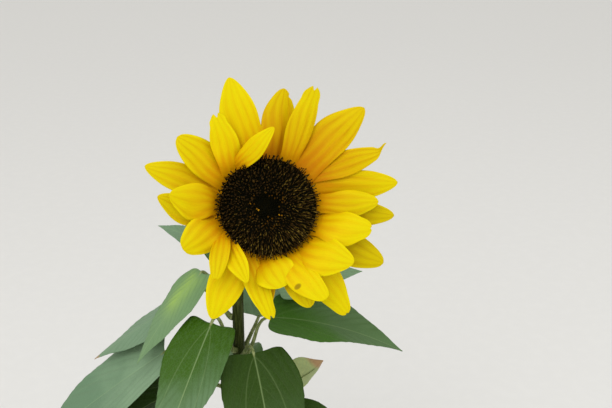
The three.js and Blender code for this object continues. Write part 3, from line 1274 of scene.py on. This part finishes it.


# Grey-green: the grey is painted sheen, which stands for the sky's reflection on the blade.
GREEN_PAINTED_SHEEN = LeafTints(
    (0.155, 0.255, 0.145), (0.165, 0.268, 0.160), vein=(0.25, 0.37, 0.20), vein_strength=0.5
)
# Painted light: a paler base, which lifts the part of the blade that lies in the shade of the
# leaves above it.
PAINTED_LIGHT_BASE = replace(GREEN_PAINTED_SHEEN, base=(0.205, 0.32, 0.19), tip=(0.128, 0.225, 0.130), turn=0.32)
DRY_TIPPED = replace(GREEN_PAINTED_SHEEN, dry_tip=0.06)
YELLOW_PATCHED = LeafTints(
    (0.16, 0.28, 0.12),
    (0.16, 0.27, 0.13),
    vein=(0.26, 0.39, 0.17),
    vein_strength=0.4,
    flush=(0.31, 0.48, 0.10),
)
SATURATED = LeafTints(
    (0.036, 0.100, 0.001),
    (0.125, 0.215, 0.105),
    turn=0.4,
    bright_side=-0.15,
    vein=(0.27, 0.37, 0.17),
    vein_strength=0.6,
)
DEEP = LeafTints(
    (0.024, 0.058, 0.003),
    (0.056, 0.107, 0.034),
    turn=0.45,
    vein=(0.23, 0.32, 0.13),
    vein_strength=0.6,
)
PLAIN = LeafTints((0.052, 0.122, 0.020), (0.082, 0.150, 0.058), turn=0.4, vein_strength=0.3)
LIT = replace(PLAIN, base=(0.040, 0.120, 0.006), bright_side=-0.3)
# Painted light: paler tints for leaves that lie in the bloom's shade.
PAINTED_LIGHT_IN_SHADE = replace(GREEN_PAINTED_SHEEN, base=(0.20, 0.33, 0.18), tip=(0.20, 0.33, 0.19))
WITHERED = LeafTints(
    (0.24, 0.31, 0.12),
    (0.25, 0.30, 0.13),
    vein=(0.34, 0.40, 0.20),
    dry_tip=0.24,
    under=(0.42, 0.48, 0.20),
)

LEAVES = (
    Leaf("top_left", 338, 152, 21, 14, 151, 16, 14, 0, -12, 43, 20, 6, GREEN_PAINTED_SHEEN),
    Leaf("top_right", 334, 25, 28, -14, 18, 11, 14, -8, 18, 62, 36, 8, PAINTED_LIGHT_IN_SHADE),
    Leaf(
        "high_left", 323, 188, 23.2, 17, 196, -46, 13, 7, -15, 77, 32, -6, YELLOW_PATCHED,
        left_lobe=2.0, right_lobe=0.1, stalk_rise=30, stalk_arriving=0.12,
    ),
    Leaf("high_left_behind", 305, 175, 28, 19, 167, -38, 2, 5, -16, 102, 41, -11, DRY_TIPPED),
    Leaf("high_back", 302, 98, 26, 26, 98, 10, 52, 0, 0, 88, 46, 22, PLAIN),
    Leaf("mid_left", 258, -173, 49.5, 24, -180, -37, 4, 10, -17, 138, 62, 6, PAINTED_LIGHT_BASE),
    Leaf(
        "mid_front_left", 282, -123, 27, 32, -123, -46, 12, -4, 2, 108, 47, 6, SATURATED,
        droop=3.5, widest_at=0.52,
    ),
    Leaf("mid_front", 277, -65, 28, 16, -72, -44, 16, -4, 0, 100, 54, 8, DEEP),
    Leaf(
        "mid_right", 278, -13, 23, 30, -12, 6, 28, 0, 12, 90, 48, 14, LIT,
        right_lobe=0.45, tip_draw=0.5,
    ),
    Leaf("mid_back", 279, 49, 20, 18, 74, 22, 46, 0, 0, 80, 45, 15, PAINTED_LIGHT_IN_SHADE),
    Leaf(
        "low_right", 243, 8, 22, 6, 4, 6, -40, 0, -70, 42, 33, 10, WITHERED,
        curl=0.5, widest_at=0.95,
    ),
    Leaf("low_right_front", 225, -40, 34, 15, -26, -10, 50, 0, 0, 92, 56, 16, DEEP),
    Leaf("low_left", 246, 180, 34, 4, -160, -6, 50, 10, 0, 102, 60, 16, DEEP),
    Leaf("low_front", 186, -94, 34, 27, -94, -8, 54, 6, 0, 112, 68, 16, PLAIN),
    Leaf("low_back", 203, 108, 34, 32, 108, 4, 60, -6, 0, 112, 68, 16, PLAIN),
    Leaf("base_right", 158, 12, 38, 30, 12, 4, 62, 8, 0, 116, 72, 16, PLAIN),
    Leaf("base_left", 156, 196, 38, 32, 196, 0, 60, -6, 0, 114, 72, 16, PLAIN),
    Leaf("foot_front", 104, -100, 32, 24, -100, 6, 66, -8, 0, 88, 56, 18, PLAIN),
    Leaf("foot_back", 102, 70, 34, 26, 70, 4, 66, 10, 0, 90, 58, 18, PLAIN),
)


# The bloom


class End(Enum):
    """How a petal ends, by the share of its width that is left there."""

    POINTED = 0.05
    HOOKED = 0.06
    NICKED = 0.14
    FORKED = 0.3


@dataclass
class Petal:
    """One petal, in the bloom's own axes: +X right, +Y up and +Z out of the disc.

    The row of each petal gives the azimuths of its root and tip, how far from the bloom's
    middle the tip reaches, the petal's width, how steeply it leaves the disc, by how much that
    changes by the tip, its roll, and how full its outer half is.
    """

    name: str
    root_height: float
    root: float
    tip: float
    reach: float
    width: float
    lift: float
    arch: float
    roll: float
    fullness: float
    tone: Tone = Tone.LEMON
    end: End = End.POINTED
    clockwise: float = 1.0
    counter: float = 1.0
    fold: float = 0.0
    nick: tuple[float, float, float] = (0.0, 0.0, 0.0)
    shingle: float = 0.13
    root_share: float = 0.7
    root_radius: float = 29.9

    widest_at: float = 0.92
    peak: float = 0.47
    bowl: float = -0.22
    plate: float = 0.32
    tuck: float = 3.4
    nick_depth: float = 0.7
    fork_depth: float = 2.2
    hook_start: float = 0.88
    hook_height: float = 4.0
    hook_aside: float = 3.2
    dent_depth: float = 0.4
    course_steps: int = 8
    rows: int = 56
    columns: int = 30

    def __post_init__(self) -> None:
        """Draws the petal's own small turns."""
        dice = random.Random(self.name)
        self.shift = dice.uniform(-0.12, 0.12)
        self.phase = dice.uniform(0, math.tau)
        self.sway = dice.uniform(0.5, 1.1)
        self.dish = dice.uniform(0.6, 1.05)
        self.pleats = [
            (centre + dice.uniform(-0.14, 0.14), dice.uniform(0.09, 0.2), dice.uniform(0.15, 0.65))
            for centre in (-0.55, -0.05, 0.45)
        ]

    def spine(self) -> Spine:
        """The petal's line, from the disc's edge to its tip."""
        start = level(self.root) * self.root_radius + UP * self.root_height
        chord = level(self.tip) * self.reach + UP * self.root_height - start
        heading = math.degrees(math.atan2(chord.y, chord.x))
        first, last = math.radians(self.lift), math.radians(self.lift + self.arch)
        length = chord.length / ((math.sin(last) - math.sin(first)) / (last - first))
        steps, drop = self.course_steps, -self.arch
        return Course(start, heading, self.lift, length, steps, drop=drop, roll=self.roll).spine()

    def half_width(self, along: float) -> float:
        """Half the petal's width at a share of its length."""
        closing = swelling(along, self.widest_at) ** self.fullness
        opening = lerp(self.root_share, 1, smooth(along, 0, self.peak))
        swell = opening if along < self.peak else closing
        uneven = 1 + 0.03 * math.sin(7 * along + self.phase)
        return self.width / 2 * (swell * uneven + self.end.value * smooth(along, 0.78, 1.0))

    def side_share(self, along: float, v: float) -> float:
        """How much wider or narrower one side is, with the nick that some petals have."""
        body = math.sin(math.pi * clamp(along)) ** 0.5
        side = self.counter if v > 0 else self.clockwise
        at, which, depth = self.nick
        nick = depth * ridge(along - at, 0.025) * abs(v) ** 3 if v * which > 0 else 0.0
        return 1 + (side - 1) * body - nick

    def setback(self, along: float, v: float) -> float:
        """How far the outline is cut back at its tip, and tucked under the florets at its root."""
        tucked = self.tuck * (1 - smooth(along, 0, 0.09))
        aside = v - self.shift
        if self.end is End.NICKED:
            tucked += self.nick_depth * smooth(along, 0.8, 1.0) * ridge(aside, 0.5)
        if self.end is End.FORKED:
            fork = 0.5 + 0.5 * math.cos(math.pi * aside / 0.62)
            tucked += self.fork_depth * smooth(along, 0.75, 1.0) * fork
        return tucked

    def relief(self, along: float, v: float) -> float:
        """How far the face stands off the smooth blade, by its pleats, ripples and tip."""
        body = math.sin(math.pi * clamp(along) ** 0.8) ** 0.5
        scale = self.half_width(along) / (self.width / 2)
        bend = 0.05 * math.sin(5 * along + self.phase)
        grooves = sum(depth * ridge(v - at - bend, width) for at, width, depth in self.pleats)
        fine = 0.04 * math.cos(math.tau * 4.5 * v)
        turn = math.tau * 1.4 * along + self.phase + (v > 0) * 1.7
        ripple = self.sway * abs(v) ** 3 * math.sin(turn)
        folded = self.fold * smooth(-v, 0.25, 1.0)
        relief = body * (scale * (fine + ripple - grooves) + folded)
        if self.end is End.HOOKED:
            relief += self.hook_height * smooth(along, self.hook_start, 1.0)
        if self.tone is Tone.BRUISED:
            off = math.hypot((along - SCAR[0]) * 3.4, v - SCAR[1])
            relief -= self.dent_depth * ridge(off, 0.16)
        return relief

    def build(self, finishes: dict[Tone, bpy.types.Material], into: Matrix) -> bpy.types.Object:
        """Makes the petal as one piece."""
        stations = self.spine().rows(self.rows)

        def point(a: float, b: float, side: float) -> Vector:
            """The point of the upper face, or of the lower where side is 1."""
            station = stations[round(a * self.rows)]
            v = 2 * b - 1
            half = self.half_width(a)
            slope = self.shingle * (1 - smooth(a, 0.15, 0.6))
            lift = half * (self.bowl * self.dish * v * v + slope * v) + self.relief(a, v)
            aside = 0.0
            if self.end is End.HOOKED:
                aside = self.hook_aside * smooth(a, self.hook_start, 1.0)
                half *= 1 - 0.6 * smooth(a, 0.84, 0.95)
            aside += half * v * self.side_share(a, v)
            rise = lift - side * self.plate * (1 - 0.5 * a)
            return station.beside(aside, rise, self.setback(a, v))

        model = Model()
        model.shell(self.rows, self.columns, point)
        return model.piece(f"ray_{self.name}", [finishes[self.tone]], into)


def front(number: int, *sizes: float, height: float = -0.6, **looks: object) -> Petal:
    """A petal of the front whorl."""
    return Petal(f"front_{number:02d}", height, *sizes, **looks)


def back(number: int, *sizes: float, height: float = -3.0, **looks: object) -> Petal:
    """A petal of the back whorl."""
    return Petal(f"back_{number:02d}", height, *sizes, root_share=0.95, **looks)


PETALS = (
    front(1, 2, 0.7, 63.5, 17, 34, -34, 2, 0.6, tone=Tone.GOLD, counter=0.85, shingle=-0.1),
    front(
        2, 36, 24, 77.5, 15, 16, -16, -4, 0.75,
        height=-2.2, tone=Tone.HONEY, end=End.HOOKED, shingle=-0.15,
    ),
    front(3, 64, 67, 74.5, 16, 24, -22, 8, 0.6, tone=Tone.GOLD, end=End.FORKED),
    front(4, 106, 105, 78, 21, 22, -20, -6, 0.7, height=-2.8, counter=1.18, root_share=0.9),
    front(5, 125, 86, 44, 12, 60, -46, -12, 0.7, height=1.8, root_radius=30),
    front(6, 142, 140.5, 65.5, 21, 34, -30, 6, 0.6, height=-2.2, tone=Tone.GOLD, root_share=0.85),
    front(7, 173, 171, 56.5, 18, 48, -44, -8, 0.6, tone=Tone.GOLD, counter=1.45, shingle=0.25),
    front(8, 199, 204, 54.5, 20, 44, -48, -8, 0.45, tone=Tone.GOLD, clockwise=1.1, shingle=0.25),
    front(9, 206, 230.5, 50.5, 12, 58, -52, 10, 0.6, tone=Tone.GOLD, end=End.NICKED),
    front(10, 219, 250.5, 44, 10, 62, -52, 24, 0.6, fold=2.4, clockwise=1.35),
    front(11, 268, 279, 46, 20, 58, -56, -4, 0.5, counter=1.15, clockwise=1.35),
    front(
        12, 291, 299.5, 61, 18, 54, -52, -2, 0.5,
        tone=Tone.BRUISED, clockwise=1.3, counter=0.7, shingle=-0.1,
    ),
    front(13, 309, 324.5, 57, 20, 58, -56, -6, 0.65, clockwise=1.35, shingle=-0.3),
    front(
        14, 339, 346, 60, 20, 48, -48, -8, 0.6,
        end=End.NICKED, counter=0.9, clockwise=1.2, shingle=-0.3,
    ),
    back(1, 20, 8.7, 78, 18, 12, -14, 5, 0.65, tone=Tone.GOLD),
    back(
        2, 46, 44, 81, 21, 12, -12, -5, 0.65,
        height=-1.0, tone=Tone.HONEY, counter=1.25, clockwise=0.9, shingle=-0.2,
    ),
    back(3, 83, 80.4, 70, 20, 12, -8, 4, 0.65, tone=Tone.HONEY, nick=(0.9, -1, 0.25)),
    back(4, 131, 118, 61, 16, 38, -34, 4, 0.6, height=0.4, end=End.FORKED),
    back(5, 159, 159.5, 75, 18, 16, -16, 4, 0.7, tone=Tone.GOLD),
    back(6, 190, 172.5, 64, 20, 20, -14, -8, 0.75, tone=Tone.GOLD, clockwise=0.6, counter=1.1),
    back(7, 236, 241, 73, 21, 14, -22, 4, 0.7, fold=2.0, clockwise=1.1),
    back(8, 241, 269.5, 65, 13, 26, -30, -8, 0.6, end=End.FORKED, fold=2.0, clockwise=1.2),
    back(9, 262, 267, 60, 13, 14, -16, 0, 0.6, tone=Tone.AMBER),
    back(10, 289, 290.5, 63.5, 19, 26, -34, 5, 0.6, tone=Tone.GOLD),
    back(11, 308, 304.5, 79.5, 19, 8, -20, -4, 0.6, counter=1.12, end=End.NICKED),
    back(12, 327, 332, 76, 20, 12, -18, 4, 0.55, tone=Tone.OLIVE),
    back(13, 354, 354.1, 75, 17, 10, -14, 6, 0.65, tone=Tone.OLIVE),
)


# The olive slot is the streak of some open florets: partly their own paler colour, partly painted
# highlight.
BLACK, DARK, BROWN, WARM, OLIVE_STREAK_HIGHLIGHT, SPECK = range(6)
HEAD, STREAKED = 1, 2
FLORET_FINISHES = (
    GrainFinish("floret_black", (0.002, 0.002, 0.0), (0.005, 0.004, 0.0), 0.7, gloss=0.04),
    GrainFinish("floret_dark", (0.008, 0.004, 0.0), (0.024, 0.012, 0.001), gloss=0.08),
    GrainFinish("floret_brown", (0.020, 0.010, 0.001), (0.065, 0.034, 0.005), gloss=0.08),
    GrainFinish("floret_warm", (0.05, 0.02, 0.001), (0.13, 0.055, 0.002), gloss=0.05),
    GrainFinish("floret_olive", (0.09, 0.055, 0.006), (0.25, 0.17, 0.03), gloss=0.05),
    GrainFinish("floret_orange", (0.24, 0.10, 0.003), (0.52, 0.26, 0.01), gloss=0.05),
)


def open_floret() -> Seedling:
    """An open floret: a slim tube with a streak down one side, and a head of two knobs."""
    bm = bmesh.new()
    add_cone(bm, 6, 0.48, 0.38)
    for face in bm.faces:
        if face.calc_center_median().x > 0.15:
            face.material_index = STREAKED
    for side in (-1, 1):
        place = Matrix.Translation((side * 0.24, 0.1 * side, 1.0 + 0.04 * side))
        place = place @ Matrix.Diagonal((1, 1, 0.24, 1))
        knob = bmesh.ops.create_uvsphere(
            bm, u_segments=6, v_segments=4, radius=0.42, matrix=place
        )["verts"]
        for face in {face for vert in knob for face in vert.link_faces}:
            face.material_index = HEAD
    return Seedling.taken_from(bm)


def bud() -> Seedling:
    """A closed floret: a small blunt bud."""
    bm = bmesh.new()
    bmesh.ops.create_uvsphere(bm, u_segments=6, v_segments=5, radius=0.62, matrix=MIDWAY)
    return Seedling.taken_from(bm)


@dataclass
class SeedDisc:
    """The disc of florets: buds in its dimpled middle, open florets that lean out round it.

    The florets stand on a spiral. A few orange ones stand at given radii and angles, and the
    ring is narrower at a few angles, where petals lie over its edge.
    """

    radius: float = 28.7
    count: int = 1300
    golden_angle: float = 137.508
    centre: tuple[float, float, float] = (-1.0, 0.4, 0)
    sunk: float = 0.4
    bud_radius: float = 8.0
    warm_bud_radius: float = 6.0
    inner_ring: float = 12.0
    outer_ring: float = 25.0
    sunny_angle: float = -35.0
    speck_reach: float = 0.8
    profile: tuple[tuple[float, float], ...] = (
        (0, -4.6), (28.3, -4.6), (28.5, -1.0), (27.8, 1.4), (26.0, 3.4),
        (20, 4.4), (13, 3.4), (8, 1.8), (4, 0.2), (0, -0.6),
    )
    specks: tuple[tuple[float, float], ...] = (
        (11.1, 171), (10.0, 173), (7.1, 194), (6.3, 190), (7.6, 322), (8.6, 326), (9.6, 331),
    )
    overlaps: tuple[tuple[float, float, float], ...] = ((118, 2.6, 17), (222, 1.6, 20))

    def height(self, radius: float) -> float:
        """The height of the dish that the florets stand on."""
        rim = self.profile[:1:-1]
        return float(np.interp(radius, [r for r, _ in rim], [h for _, h in rim]))

    def missing(self, angle: float) -> float:
        """How much narrower the ring of florets is at an angle."""
        return sum(
            depth * ridge(abs((angle - at + 180) % 360 - 180), width)
            for at, depth, width in self.overlaps
        )

    def on_speck(self, place: Vector) -> bool:
        """Whether a floret stands at one of the few orange ones' places."""
        specks = [(level(angle) * radius).xy for radius, angle in self.specks]
        return any((place.xy - speck).length < self.speck_reach for speck in specks)

    def sow(self, scatter: Scatter, dice: random.Random) -> None:
        """Sows the florets."""
        opened, closed = open_floret(), bud()
        for i in range(self.count):
            radius = self.radius * math.sqrt((i + 0.5) / self.count)
            angle = i * self.golden_angle + dice.uniform(-2, 2)
            if radius > self.radius - self.missing(angle):
                continue
            out = level(angle)
            place = Vector(self.centre) + out * radius + UP * (self.height(radius) - self.sunk)
            edge = smooth(radius, 4, self.outer_ring)
            hanging = 0.5 + 0.5 * math.cos(math.radians(angle - self.sunny_angle))
            lean = lerp(-6, 20 + 26 * hanging, edge) + dice.uniform(-10, 10)
            way = tilted(out, 90 - lean)
            way.rotate(Quaternion(out, math.radians(dice.uniform(-16, 16))))
            spin = dice.uniform(0, math.tau)
            orange = self.on_speck(place)
            if radius < self.bud_radius:
                size = lerp(0.8, 1.1, radius / self.bud_radius) * dice.uniform(0.85, 1.1)
                slot = BLACK
                if orange:
                    slot = SPECK
                elif radius > self.warm_bud_radius and dice.random() < 0.15:
                    slot = WARM
                scatter.sow(closed, facing(way, place, (size, size, size * 1.7), spin), (slot,))
                continue
            tall = lerp(2.6, 4.0 + 0.5 * hanging, edge) * dice.uniform(0.75, 1.15)
            girth = lerp(0.92, 0.62, hanging * edge) * dice.uniform(0.8, 1.1)
            # Partly painted highlight: the olive streak down the tube's side shows on more florets
            # towards the lower right, where they lean out.
            pale = dice.random() < 0.1 + 0.8 * hanging * edge
            side = dice.choice((DARK, BROWN, BROWN))
            warm = radius < self.inner_ring or (radius > self.outer_ring and hanging > 0.6)
            warm = warm and dice.random() < 0.2
            head = WARM if warm else dice.choice((DARK, BROWN, BROWN, BLACK))
            streak = OLIVE_STREAK_HIGHLIGHT if pale else side
            if orange:
                head = streak = SPECK
            shape = facing(way, place, (girth, girth, tall), spin)
            scatter.sow(opened, shape, (side, head, streak))

    def build(self, into: Matrix) -> bpy.types.Object:
        """Makes the dish and the florets as one piece."""
        model, scatter = Model(), Scatter()
        model.turned(self.profile)
        scatter.sow(Seedling.taken_from(model.bm), Matrix.Identity(4), (BLACK,))
        self.sow(scatter, random.Random(SEED))
        materials = [finish.material() for finish in FLORET_FINISHES]
        return scatter.piece("floret_disc", materials, into)


@dataclass(frozen=True)
class BractRow:
    """A ring of bracts on the cup."""

    count: int
    turn: float
    root_radius: float
    root_height: float
    length: float
    width: float
    lift: float
    arch: float


@dataclass
class Cup:
    """The green cup behind the disc, with its bracts."""

    profile: tuple[tuple[float, float], ...] = (
        (0, -23), (5.6, -22.4), (8.5, -19.5), (16, -14),
        (24.5, -9.5), (29, -5.8), (28.8, -4.4), (0, -4.4),
    )
    rings: tuple[BractRow, ...] = (
        BractRow(12, 0, 26.5, -8.4, 27, 12, 30, -42),
        BractRow(10, 18, 19.5, -12.4, 31, 13, 26, -66),
    )
    plate: float = 0.7
    bowl: float = 0.25
    rib: float = 0.12
    ribs: float = 2.5
    claw_share: float = 0.75
    widest_at: float = 0.8
    rows: int = 26
    columns: int = 10
    course_steps: int = 5
    hairs: int = 46

    def half_width(self, row: BractRow, along: float) -> float:
        """Half a bract's width at a share of its length."""
        swell = swelling(along, self.widest_at) * (1 - 0.25 * along**2)
        return row.width / 2 * max(self.claw_share * (1 - along), swell, 0.03)

    def bract(
        self, model: Model, row: BractRow, angle: float, dice: random.Random, hairs: Scatter
    ) -> None:
        """Adds a bract and its hairs.

        Args:
            model: takes the bract.
            row: the ring that it belongs to.
            angle: where it stands on the ring.
            dice: draws its small turns and its hairs.
            hairs: gathers the hairs.
        """
        start = level(angle) * row.root_radius + UP * row.root_height
        lift = row.lift + dice.uniform(-3, 3)
        heading = angle + dice.uniform(-3, 3)
        course = Course(start, heading, lift, row.length, self.course_steps, drop=-row.arch)
        stations = course.spine().rows(self.rows)

        def point(a: float, b: float, side: float) -> Vector:
            """The point of the upper face, or of the lower where side is 1."""
            v, half = 2 * b - 1, self.half_width(row, a)
            ribs = self.rib * math.cos(math.tau * self.ribs * v) * math.sin(math.pi * a)
            rise = half * self.bowl * v * v + ribs - side * self.plate
            return stations[round(a * self.rows)].beside(half * v, rise)

        model.shell(self.rows, self.columns, point, slots=(1, 1))
        shape = bristle()
        for _ in range(self.hairs):
            i, side = round(dice.random() * self.rows), dice.choice((0.0, 1.0))
            station = stations[i]
            way = station.across * (2 * side - 1) + station.along * 0.6
            way += station.up * dice.uniform(-0.6, 0.3)
            size = (0.7, 0.7, dice.uniform(0.6, 1.3))
            hairs.sow(shape, facing(way, point(i / self.rows, side, 0.5), size))

    def build(self, into: Matrix) -> tuple[bpy.types.Object, bpy.types.Object]:
        """Makes the cup and its fringe of hairs."""
        dice = random.Random(SEED + 1)
        model, hairs = Model(), Scatter()
        model.turned(self.profile)
        for row in self.rings:
            for i in range(row.count):
                self.bract(model, row, row.turn + i * 360 / row.count, dice, hairs)
        finishes = (
            StalkFinish("cup_hide", (0.085, 0.15, 0.035), (0.15, 0.23, 0.07), 0.2, 1.0),
            StalkFinish("bract_hide", (0.070, 0.14, 0.030), (0.12, 0.21, 0.055), 0.15, 1.0),
        )
        cup = model.piece("cup_and_bracts", [finish.material() for finish in finishes], into)
        return cup, hairs.piece("bract_fringe", [pale_hair()], into)


def pale_hair() -> bpy.types.Material:
    """The finish of the plant's hairs."""
    return GrainFinish("hair", (0.09, 0.11, 0.04), (0.20, 0.22, 0.10), 0.5, 200).material()


@dataclass
class Bloom:
    """The bloom at the top of the stem: disc, cup and petals."""

    place: Vector = field(default_factory=lambda: Vector((23, -35, 400)))
    ahead: Vector = field(default_factory=lambda: Vector((0.09, -0.92, 0.385)).normalized())
    cup_depth: float = 23.0
    clearance: float = 0.3

    def axes(self) -> Matrix:
        """The matrix from the bloom's own axes to the plant's."""
        right = UP.cross(self.ahead).normalized()
        up = self.ahead.cross(right)
        turn = Matrix((right, up, self.ahead)).transposed().to_4x4()
        return Matrix.Translation(self.place) @ turn

    def stem_end(self) -> Vector:
        """Where the stem meets the cup."""
        return self.place - self.ahead * (self.cup_depth + self.clearance)

    def build(self) -> None:
        """Makes the bloom's pieces."""
        into = self.axes()
        keep(SeedDisc().build(into), "disc_brown", "seed_disc")
        cup, fringe = Cup().build(into)
        keep(cup, "bract_green", "bract_cup")
        keep(fringe, "bract_green")
        finishes = {finish.tone: finish.material() for finish in petal_finishes()}
        for petal in PETALS:
            keep(petal.build(finishes, into), "petal_yellow", f"petal_{petal.name}")


# The plant in its studio


def keep(piece: bpy.types.Object, slot: str, *nodes: str) -> None:
    """Puts a piece on the plant's one body, and hides the nodes that it stands for."""
    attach(piece, "root")
    if nodes:
        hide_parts(*nodes)
    log.info("%s: %d faces", piece.name, len(piece.data.polygons))


@dataclass
class Studio:
    """A plain pale floor, soft light and the camera."""

    eye: tuple[float, float, float] = (45.05, -496.04, 588.25)
    look_down: float = 22.0
    lens: float = 50.0
    sensor: float = 36.0
    floor_radius: float = 9000.0
    sky: Colour = (1.0, 0.985, 0.95)
    sky_strength: float = 0.86
    lit: tuple[float, float, float] = (0, 0, 0.3)

    def build(self) -> None:
        """Makes the floor, the lights and the camera."""
        self.floor()
        self.world()
        self.lamp("key", (-400, -1400, 1700), 1500, 17)
        self.lamp("fill", (1500, -700, 1300), 1600, 5)
        self.camera()

    def floor(self) -> None:
        """Lays the floor."""
        bm = bmesh.new()
        bmesh.ops.create_circle(bm, cap_ends=True, segments=96, radius=self.floor_radius * METRES)
        mesh = bpy.data.meshes.new("floor")
        bm.to_mesh(mesh)
        bm.free()
        pale, paler = (0.735, 0.735, 0.725), (0.745, 0.745, 0.735)
        finish = GrainFinish("floor_pale", pale, paler, 0.9, 60.0, relief=0.0)
        placed("floor", mesh, [finish.material()])

    def world(self) -> None:
        """Sets the even light from all round."""
        world = bpy.data.worlds.new("sky")
        world.use_nodes = True
        background = world.node_tree.nodes["Background"]
        background.inputs["Color"].default_value = (*self.sky, 1.0)
        background.inputs["Strength"].default_value = self.sky_strength
        bpy.context.scene.world = world

    def hang(self, name: str, data: bpy.types.ID, place: tuple) -> bpy.types.Object:
        """Puts a lamp or camera into the scene at a place in millimetres."""
        thing = bpy.data.objects.new(name, data)
        thing.location = Vector(place) * METRES
        bpy.context.scene.collection.objects.link(thing)
        return thing

    def lamp(self, name: str, place: tuple, size: float, power: float) -> None:
        """Hangs a large soft lamp that looks at the plant."""
        light = bpy.data.lights.new(name, "AREA")
        light.shape = "DISK"
        light.size = size * METRES
        light.energy = power
        lamp = self.hang(name, light, place)
        ahead = Vector(self.lit) - lamp.location
        lamp.rotation_euler = ahead.to_track_quat("-Z", "Y").to_euler()

    def camera(self) -> None:
        """Sets the camera where the photograph was taken from."""
        data = bpy.data.cameras.new("camera")
        data.lens = self.lens
        data.sensor_width = self.sensor
        camera = self.hang("camera", data, self.eye)
        camera.rotation_euler = (math.radians(90 - self.look_down), 0, 0)
        bpy.context.scene.camera = camera
        bpy.context.scene.view_settings.view_transform = "Standard"


def main() -> None:
    """Builds the plant and its studio."""
    logging.basicConfig(level=logging.INFO, format="%(name)s: %(message)s")
    Studio().build()
    bloom, stem = Bloom(), Stem()
    stem.lay(bloom.stem_end(), bloom.ahead)
    keep(stem.build(), "stem_green", "stem")
    hairs = Scatter()
    dice = random.Random(SEED)
    stem.sow_hairs(hairs, dice)
    stalk_hide = StalkFinish("stalk_hide", (0.17, 0.21, 0.07), (0.34, 0.38, 0.17), 0.2).material()
    for leaf in LEAVES:
        keep(leaf.build(stem, stalk_hide), "leaf_green", f"leaf_{leaf.name}")
        leaf.sow_hairs(hairs, dice)
    keep(hairs.piece("bristles", [pale_hair()]), "stem_green")
    bloom.build()


if __name__ == "__main__":
    main()
